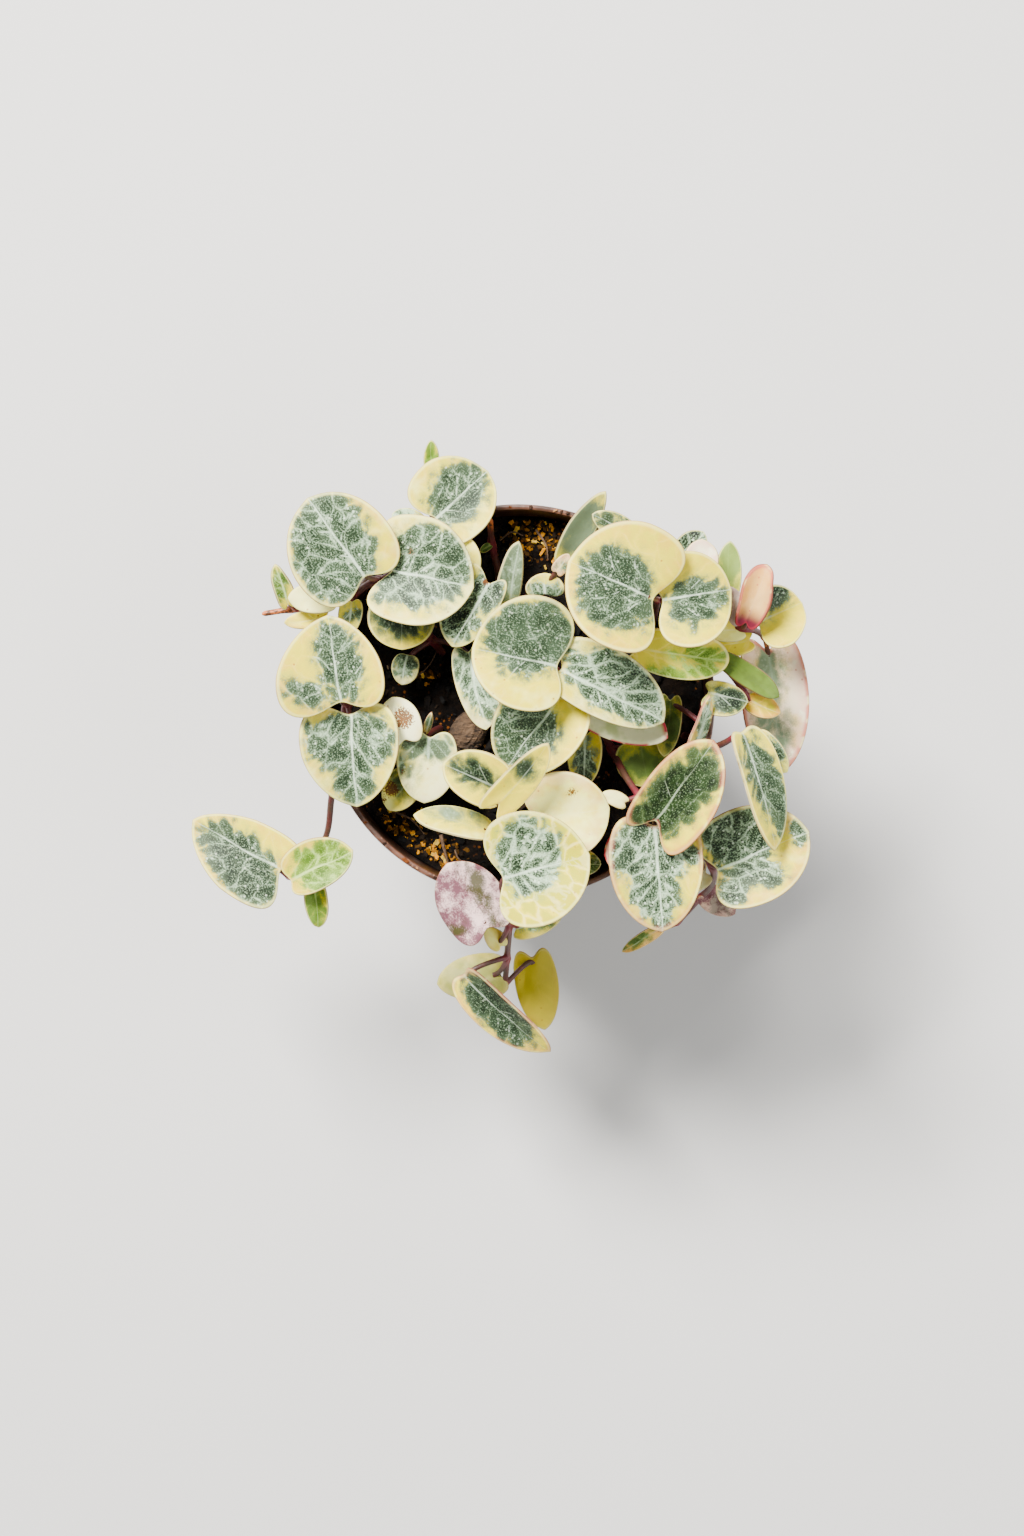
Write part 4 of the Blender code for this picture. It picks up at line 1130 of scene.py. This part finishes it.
def ripple(x, y, sway, luck):
    """A smooth push of about the sway's size, made of waves of about its length."""
    size, length = sway
    total = 0
    for _ in range(RIPPLES):
        turn, start = luck.uniform(0, tau), luck.uniform(0, tau)
        pace = tau / (length * luck.uniform(*RIPPLE_SPREAD))
        total = total + np.sin(pace * (x * cos(turn) + y * sin(turn)) + start)
    return size * (total / RIPPLE_SUM)


def vein_lines(x, y, luck):
    """Each point's place along the side veins and across the blade, and its bent rib gap."""
    off = np.abs(y)
    lean = x - VEIN_LEAN * off + VEIN_CURVE * off ** 2 + ripple(x, y, VEIN_SWAY, luck)
    across = y + ripple(x, y, SIDE_SWAY, luck)
    return np.stack([lean, across, y + ripple(x, y, RIB_SWAY, luck)], axis=-1)


def make_leaf(name, form, pattern, seed, material, node):
    """One leaf: its own copy of the pattern, shaped and given its looks."""
    piece = pattern.copy()
    piece.data = pattern.data.copy()
    piece.name = name
    bpy.context.collection.objects.link(piece)
    flat = corners(piece)
    rho = np.hypot(flat[:, 0], flat[:, 1])
    phi = np.arctan2(flat[:, 1], flat[:, 0]) % tau
    level = np.sign(flat[:, 2])
    x, y = outline(form, rho, phi)
    bulge = np.sqrt(np.clip(1 - rho ** EDGE_POWER, 0, 1))
    thick = MARGIN_HALF + (BLADE_HALF - MARGIN_HALF) * bulge
    luck = Random(seed)
    swing = sum(share * np.sin(count * phi + luck.uniform(0, tau)) for count, share in WAVES)
    lift = form["wave"] * swing * rho ** 2
    points = placed(form, x, y, level * thick + lift)
    set_corners(piece, points)
    many = len(points)
    veins = vein_lines(x, y, luck)
    offset = np.array([luck.uniform(-FAR_APART, FAR_APART),
                       luck.uniform(-FAR_APART, FAR_APART), 0.0])
    note(piece, "vein_near", veins)
    note(piece, "vein_place", veins * NET_SQUASH + offset)
    note(piece, "blade_grain", np.stack([x, y, np.zeros(many)], axis=-1) + offset)
    note(piece, "blade_share", np.stack([rho, x / form["length"], level], axis=-1))
    note(piece, "green_inside", patches_inside(points, form["green"]))
    spots = [(x_at, y_at, reach, reach, 0) for x_at, y_at, reach in form["spots"]]
    note(piece, "brown_inside", patches_inside(points, spots))
    for attribute, looks in LEAF_LOOKS.items():
        note(piece, attribute, np.tile([form[look] for look in looks], (many, 1)))
    settle(piece, material, "variegated_leaf", node)


# Stems


def smooth_path(points, steps):
    """A Catmull-Rom curve through the stem's points."""
    ends = [2 * points[0] - points[1]] + points + [2 * points[-1] - points[-2]]
    path = []
    for a, b, c, d in zip(ends, ends[1:], ends[2:], ends[3:]):
        for t in np.arange(steps) / steps:
            path.append(0.5 * (2 * b + (c - a) * t + (2 * a - 5 * b + 4 * c - d) * t ** 2
                               + (3 * b - a - 3 * c + d) * t ** 3))
    return path + [points[-1]]


def petiole_path(form, stem):
    """From inside the stem up into the blade, a little way in from its notch."""
    node = stem[form["at"]]
    below = stem[form["at"] - 1] - node
    start = node + PETIOLE_BACK * below / np.linalg.norm(below)
    end = placed(form, np.array([PETIOLE_SINK]), np.zeros(1), -BLADE_HALF / 2)[0]
    reach = np.linalg.norm(end - start)
    leave = start + PETIOLE_RISE * reach * UP
    arrive = end - PETIOLE_ARRIVE * reach * turned(form)[:, 0] - PETIOLE_SAG * reach * UP
    shares = np.arange(PETIOLE_STEPS + 1) / PETIOLE_STEPS
    return [(1 - t) ** 3 * start + 3 * t * (1 - t) ** 2 * leave
            + 3 * t ** 2 * (1 - t) * arrive + t ** 3 * end for t in shares]


def round_curve(name, resolution):
    """A curve whose runs are round and closed at their ends, with radii in millimetres."""
    curve = bpy.data.curves.new(name, "CURVE")
    curve.dimensions = "3D"
    curve.bevel_depth = MM
    curve.bevel_resolution = resolution
    curve.use_fill_caps = True
    return curve


def add_run(curve, path, radii):
    """One round stem along a path, with a radius at each point."""
    run = curve.splines.new("POLY")
    run.points.add(len(path) - 1)
    for point, place, radius in zip(run.points, path, radii):
        point.co = (*((place + POT_HEIGHT * UP) * MM), 1)
        point.radius = radius


def made_mesh(name, curve):
    """The curve as a piece, turned into a mesh."""
    piece = bpy.data.objects.new(name, curve)
    bpy.context.collection.objects.link(piece)
    pick(piece)
    bpy.ops.object.convert(target="MESH")
    return bpy.context.object


def make_stem(name, stem, forms, material, node):
    """A vine's stem with its petioles, thicker where each leaf grows from it."""
    curve = round_curve(name, STEM_ROUNDNESS)
    path = [stem[0] - ROOT_DEPTH * UP] + smooth_path(stem, STEM_STEPS)
    nodes = [stem[form["at"]] for form in forms]
    radii = []
    for k, place in enumerate(path):
        radius = STEM_RADIUS + (TIP_RADIUS - STEM_RADIUS) * k / (len(path) - 1)
        gap = min(np.linalg.norm(place - grown) for grown in nodes)
        radii.append(radius * (STEM_SLIM + NODE_SWELL * np.exp(-(gap / NODE_REACH) ** 2)))
    radii[-1] *= END_SLIM
    add_run(curve, path, radii)
    for form in forms:
        run = petiole_path(form, stem)
        shares = np.linspace(0, 1, len(run))
        thick = PETIOLE_RADIUS * (PETIOLE_MIDDLE + PETIOLE_FOOT * (1 - shares) ** 4
                                  + PETIOLE_HEAD * shares ** 4)
        add_run(curve, run, thick)
    piece = made_mesh(name, curve)
    points = corners(piece) / MM - POT_HEIGHT * UP
    gaps = np.min([np.linalg.norm(points - grown, axis=1) for grown in nodes], axis=0)
    note(piece, "node_near", np.exp(-(gaps / NODE_BLUSH) ** 2))
    to_end = np.linalg.norm(points - stem[-1], axis=1)
    note(piece, "dry_end", np.clip(DRY_ENDS.get(node, 0) - to_end, 0, 1))
    settle(piece, material, "variegated_leaf", node)


# Pot, soil and tuber


def wall_radius(height):
    """The inner radius of the pot's tapered wall, below its rim band."""
    share = (height - POT_FLOOR) / (STEP_HEIGHT - POT_FLOOR)
    return BASE_RADIUS + (STEP_OUT - BASE_RADIUS) * share - POT_WALL


def rounded(radius, height, steps):
    """The profile of a rounded edge, from its corner and its steps out and up."""
    return [(radius + out, height + up) for out, up in steps]


def make_pot(material):
    """The thin pot: drawn up outside to its stepped rim band, and down inside."""
    halfway = (BASE_RADIUS + (STEP_OUT - BASE_RADIUS) * 0.5, STEP_HEIGHT * 0.5)
    outside = (rounded(BASE_RADIUS, 0, FOOT_ROUND) + [halfway]
               + rounded(STEP_OUT, STEP_HEIGHT, STEP_ROUND)
               + rounded(BAND_FOOT, STEP_HEIGHT, BAND_ROUND)
               + rounded(RIM_RADIUS, POT_HEIGHT, LIP_ROUND))
    bottom = wall_radius(POT_FLOOR)
    inside = [(BAND_FOOT - POT_WALL, STEP_HEIGHT + BAND_ROUND[-1][1]),
              (wall_radius(INNER_STEP), INNER_STEP), (bottom, POT_FLOOR)]
    inside += [(bottom * share, POT_FLOOR) for share in (*FLOOR_RINGS, 0)]
    pot = turned_up("pot_body", POT_SIDES, outside + inside)
    close_foot(pot)
    for k in range(DRAIN_HOLES):
        turn = tau * k / DRAIN_HOLES
        deselect_all()
        bpy.ops.mesh.primitive_cylinder_add(
            vertices=32, radius=DRAIN_RADIUS * MM, depth=4 * POT_FLOOR * MM,
            location=(DRAIN_CIRCLE * cos(turn) * MM, DRAIN_CIRCLE * sin(turn) * MM, 0))
        drill = bpy.context.object
        pick(pot)
        cut = pot.modifiers.new("drain", "BOOLEAN")
        cut.object = drill
        cut.solver = "EXACT"
        bpy.ops.object.modifier_apply(modifier=cut.name)
        bpy.data.objects.remove(drill)
    settle(pot, material, "pot_plastic", "pot")
    bpy.ops.object.shade_smooth_by_angle(angle=radians(CREASE_ANGLE))


def soil_height(x, y):
    """The crumbly surface, in millimetres from the rim."""
    lump = noise.noise(Vector((x, y, 0)) * LUMP_SCALE)
    crumb = noise.noise(Vector((x, y, CRUMB_SLICE)) * CRUMB_SCALE)
    return SOIL_LEVEL + SOIL_LUMP * (lump + CRUMB_SHARE * crumb)


def edge_rise(share):
    """How much higher the soil is at a share of the way out to the pot's wall."""
    return (SOIL_EDGE - SOIL_LEVEL) * max(0, share - EDGE_FROM) * EDGE_PACE


def make_soil(material):
    """Soil that fills the pot, its top roughened into crumbs."""
    band = BAND_FOOT - POT_WALL - BAND_GAP
    top = POT_HEIGHT + SOIL_LEVEL
    rings = [(wall_radius(POT_FLOOR) - FOOT_GAP, POT_FLOOR + FOOT_GAP),
             (wall_radius(INNER_STEP) - WALL_GAP, INNER_STEP),
             (band, POT_HEIGHT + SOIL_EDGE)]
    rings += [(band * share, top) for share in SOIL_RINGS]
    soil = turned_up("soil_bed", SOIL_SIDES, rings + [(0, top)])
    close_foot(soil)
    points = corners(soil) / MM - POT_HEIGHT * UP
    for place in points:
        x, y, height = place
        reach = np.hypot(x, y)
        if height > SOIL_LEVEL - NEAR_TOP and reach < band * CRUMBS_END:
            height = soil_height(x, y)
            for layer, scale, size in FINE_CRUMBS:
                height += size * noise.noise(Vector((x, y, layer)) * scale)
            place[2] = height + edge_rise(reach / band)
    set_corners(soil, points)
    settle(soil, material, "potting_soil", "soil")


def chip_pattern():
    """A rough chip: a cube with its edges cut and its faces broken."""
    deselect_all()
    bpy.ops.mesh.primitive_cube_add(size=1)
    chip = bpy.context.object
    bpy.ops.object.mode_set(mode="EDIT")
    bpy.ops.mesh.select_all(action="SELECT")
    bpy.ops.mesh.bevel(offset=0.16, segments=1, affect="EDGES")
    bpy.ops.mesh.bisect(plane_co=(0.1, 0, 0.1), plane_no=(0.6, 0.3, 0.7))
    bpy.ops.object.mode_set(mode="OBJECT")
    noise.seed_set(CHIP_SEED)
    for vert in chip.data.vertices:
        vert.co += noise.noise_vector(vert.co * BREAK_SCALE) * BREAK_SIZE
    return chip


def lay_chip(pattern, place, size, tint, luck):
    """One chip, turned at random, with its own copy of the mesh."""
    stretch = Vector([luck.uniform(*span) for span in CHIP_STRETCH])
    spin = Matrix.Rotation(luck.uniform(0, tau), 4, "Z")
    for tilt, axis in zip(CHIP_TILTS, "XY"):
        spin = spin @ Matrix.Rotation(luck.uniform(-tilt, tilt), 4, axis)
    grow = Matrix.Diagonal((*(stretch * size * MM), 1))
    chip = pattern.copy()
    chip.data = pattern.data.copy()
    bpy.context.collection.objects.link(chip)
    at = Vector(place + POT_HEIGHT * UP) * MM
    chip.data.transform(Matrix.Translation(at) @ spin @ grow)
    shade = luck.uniform(*CHIP_SHADES)
    tints = [part * shade for part in paint(*tint)]
    note(chip, "chip_tint", np.tile(tints, (len(chip.data.vertices), 1)))
    return chip


def joined(name, pieces):
    """Several meshes as one piece."""
    deselect_all()
    for piece in pieces:
        piece.select_set(True)
    bpy.context.view_layer.objects.active = pieces[0]
    bpy.ops.object.join()
    bpy.context.object.name = name
    return bpy.context.object


def random_size(sizes, luck):
    """A size in millimetres, the larger the rarer."""
    least, added, rarity = sizes
    return least + added * luck.random() ** rarity


def scatter_bark(pattern, luck):
    """Dark bark and pale grit, all over the soil."""
    chips = []
    for _ in range(CHIP_COUNT):
        reach = (RIM_RADIUS - CHIP_INSET) * luck.random() ** 0.5
        turn = luck.uniform(0, tau)
        x, y = reach * cos(turn), reach * sin(turn)
        size = random_size(CHIP_SIZES, luck)
        height = soil_height(x, y) + CHIP_LIFT * size + edge_rise(reach / RIM_RADIUS)
        tint = luck.choices(DARK_TINTS, DARK_SHARES)[0]
        chips.append(lay_chip(pattern, np.array([x, y, height]), size, tint, luck))
    return chips


def scatter_gold(pattern, luck):
    """Gold grains, in crowds."""
    chips = []
    for middle_x, middle_y, spread in GOLD_PLACES:
        for _ in range(spread * GOLD_CROWD):
            at_x, at_y = luck.gauss(middle_x, spread / 2), luck.gauss(middle_y, spread / 2)
            x, y, _ = spot(at_x, at_y, SOIL_LEVEL)
            reach = np.hypot(x, y)
            if reach > RIM_RADIUS - GOLD_INSET:
                continue
            size = random_size(GOLD_SIZES, luck)
            height = soil_height(x, y) + GOLD_LIFT * size + edge_rise(reach / RIM_RADIUS)
            tint = luck.choices(GOLD_TINTS, GOLD_SHARES)[0]
            chips.append(lay_chip(pattern, np.array([x, y, height]), size, tint, luck))
    return chips


def drop_crumbs(pattern, luck):
    """A few crumbs that lie on the pot's rim."""
    chips = []
    for at_x, at_y in RIM_CRUMBS:
        place = spot(at_x, at_y, RIM_LIFT)
        place[:2] *= (RIM_RADIUS - RIM_INSET) / np.hypot(place[0], place[1])
        tint = luck.choice(RIM_TINTS)
        chips.append(lay_chip(pattern, place, luck.uniform(*RIM_SIZES), tint, luck))
    return chips


def make_chips(material):
    """Bark, fibre and grit over the soil and the rim, as one piece."""
    pattern = chip_pattern()
    luck = Random(CHIP_SEED)
    chips = scatter_bark(pattern, luck) + scatter_gold(pattern, luck) + drop_crumbs(pattern, luck)
    bpy.data.objects.remove(pattern)
    chips = joined("soil_chips", chips)
    settle(chips, material, "potting_soil")
    bpy.ops.object.shade_flat()


def make_twigs(material):
    """Dry twigs and root threads that lie on the soil."""
    curve = round_curve("soil_twigs", TWIG_ROUNDNESS)
    for points, thick in TWIGS:
        path = smooth_path([spot(*point) for point in points], STEM_STEPS)
        many = len(path)
        add_run(curve, path, [thick * (1 - TWIG_THINS * k / many) for k in range(many)])
    piece = made_mesh("soil_twigs", curve)
    note(piece, "chip_tint", np.tile(paint(*TWIG_TINT), (len(piece.data.vertices), 1)))
    settle(piece, material, "potting_soil")


def make_tuber(material):
    """The wrinkled tuber, half sunk in the soil."""
    deselect_all()
    bpy.ops.mesh.primitive_ico_sphere_add(subdivisions=6, radius=1)
    tuber = bpy.context.object
    tuber.name = "tuber_body"
    turn = Matrix.Rotation(radians(TUBER_TURN), 3, "Z")
    points = []
    for vert in tuber.data.vertices:
        wrinkle = 1 + TUBER_WRINKLE * noise.noise(vert.co * WRINKLE_SCALE)
        grooved = Vector([co * scale for co, scale in zip(vert.co, GROOVE_SCALES)])
        wrinkle += GROOVE_SIZE * noise.ridged_multi_fractal(grooved, *GROOVE_NOISE) - GROOVE_MIDDLE
        local = Vector([co * half * wrinkle for co, half in zip(vert.co, TUBER_HALVES)])
        points.append(turn @ local + Vector(TUBER_PLACE))
    set_corners(tuber, np.array(points))
    settle(tuber, material, "tuber_skin", "tuber")


# The scene


def make_floor(material):
    """A pale floor that the pot stands on."""
    deselect_all()
    bpy.ops.mesh.primitive_grid_add(x_subdivisions=8, y_subdivisions=8, size=FLOOR_SIZE,
                                    location=(0, 0, 0))
    floor = bpy.context.object
    floor.name = "studio_floor"
    floor.data.materials.append(material)


def soft_light(name, place, size, power, colour):
    """A square soft light that faces the plant."""
    deselect_all()
    bpy.ops.object.light_add(type="AREA", location=place)
    light = bpy.context.object
    light.name = name
    light.data.size = size
    light.data.energy = power
    light.data.color = colour
    aim = Vector((0, 0, POT_HEIGHT * MM)) - Vector(place)
    light.rotation_euler = aim.to_track_quat("-Z", "Y").to_euler()


def make_light():
    """The soft lights, in a pale room."""
    for light in LIGHTS:
        soft_light(*light)
    world = bpy.data.worlds.new("studio")
    world.use_nodes = True
    background = world.node_tree.nodes["Background"]
    background.inputs[0].default_value = ROOM_COLOUR
    background.inputs[1].default_value = ROOM_STRENGTH
    bpy.context.scene.world = world


def make_camera():
    """The photo's view: straight down on the plant, with the pot above the middle."""
    middle = spot(*FRAME_MIDDLE, 0)
    seen = pixel_size(0) * FRAME_HEIGHT
    bpy.ops.object.camera_add(location=(middle[0] * MM, middle[1] * MM,
                                        (POT_HEIGHT + CAMERA_HEIGHT) * MM))
    camera = bpy.context.object
    camera.data.sensor_width = SENSOR
    camera.data.lens = SENSOR * CAMERA_HEIGHT / seen
    camera.data.clip_start = 0.01
    bpy.context.scene.camera = camera


def make_vines():
    """Every vine's stem and leaves, each leaf shaped from a large or a small pattern."""
    leaf, stem_skin = leaf_material(), stem_material()
    large = blade_pattern("large_blade", LARGE_SIDES, LARGE_RINGS)
    small = blade_pattern("small_blade", SMALL_SIDES, SMALL_RINGS)
    seed = 0
    for vine, (points, forms) in VINES.items():
        stem = [spot(*point) for point in points]
        make_stem(f"{vine}_stem", stem, forms, stem_skin, vine)
        for k, form in enumerate(forms):
            seed += 1
            pattern = large if form["length"] > LARGE_BLADE else small
            make_leaf(f"{vine}_leaf_{k + 1}", form, pattern, seed, leaf, vine)
    bpy.data.objects.remove(large)
    bpy.data.objects.remove(small)


def main():
    """Build the plant, its pot and the stage."""
    make_vines()
    make_pot(pot_material())
    make_soil(soil_material())
    bark = chip_material()
    make_chips(bark)
    make_twigs(bark)
    make_tuber(tuber_material())
    make_floor(floor_material())
    make_light()
    make_camera()


main()
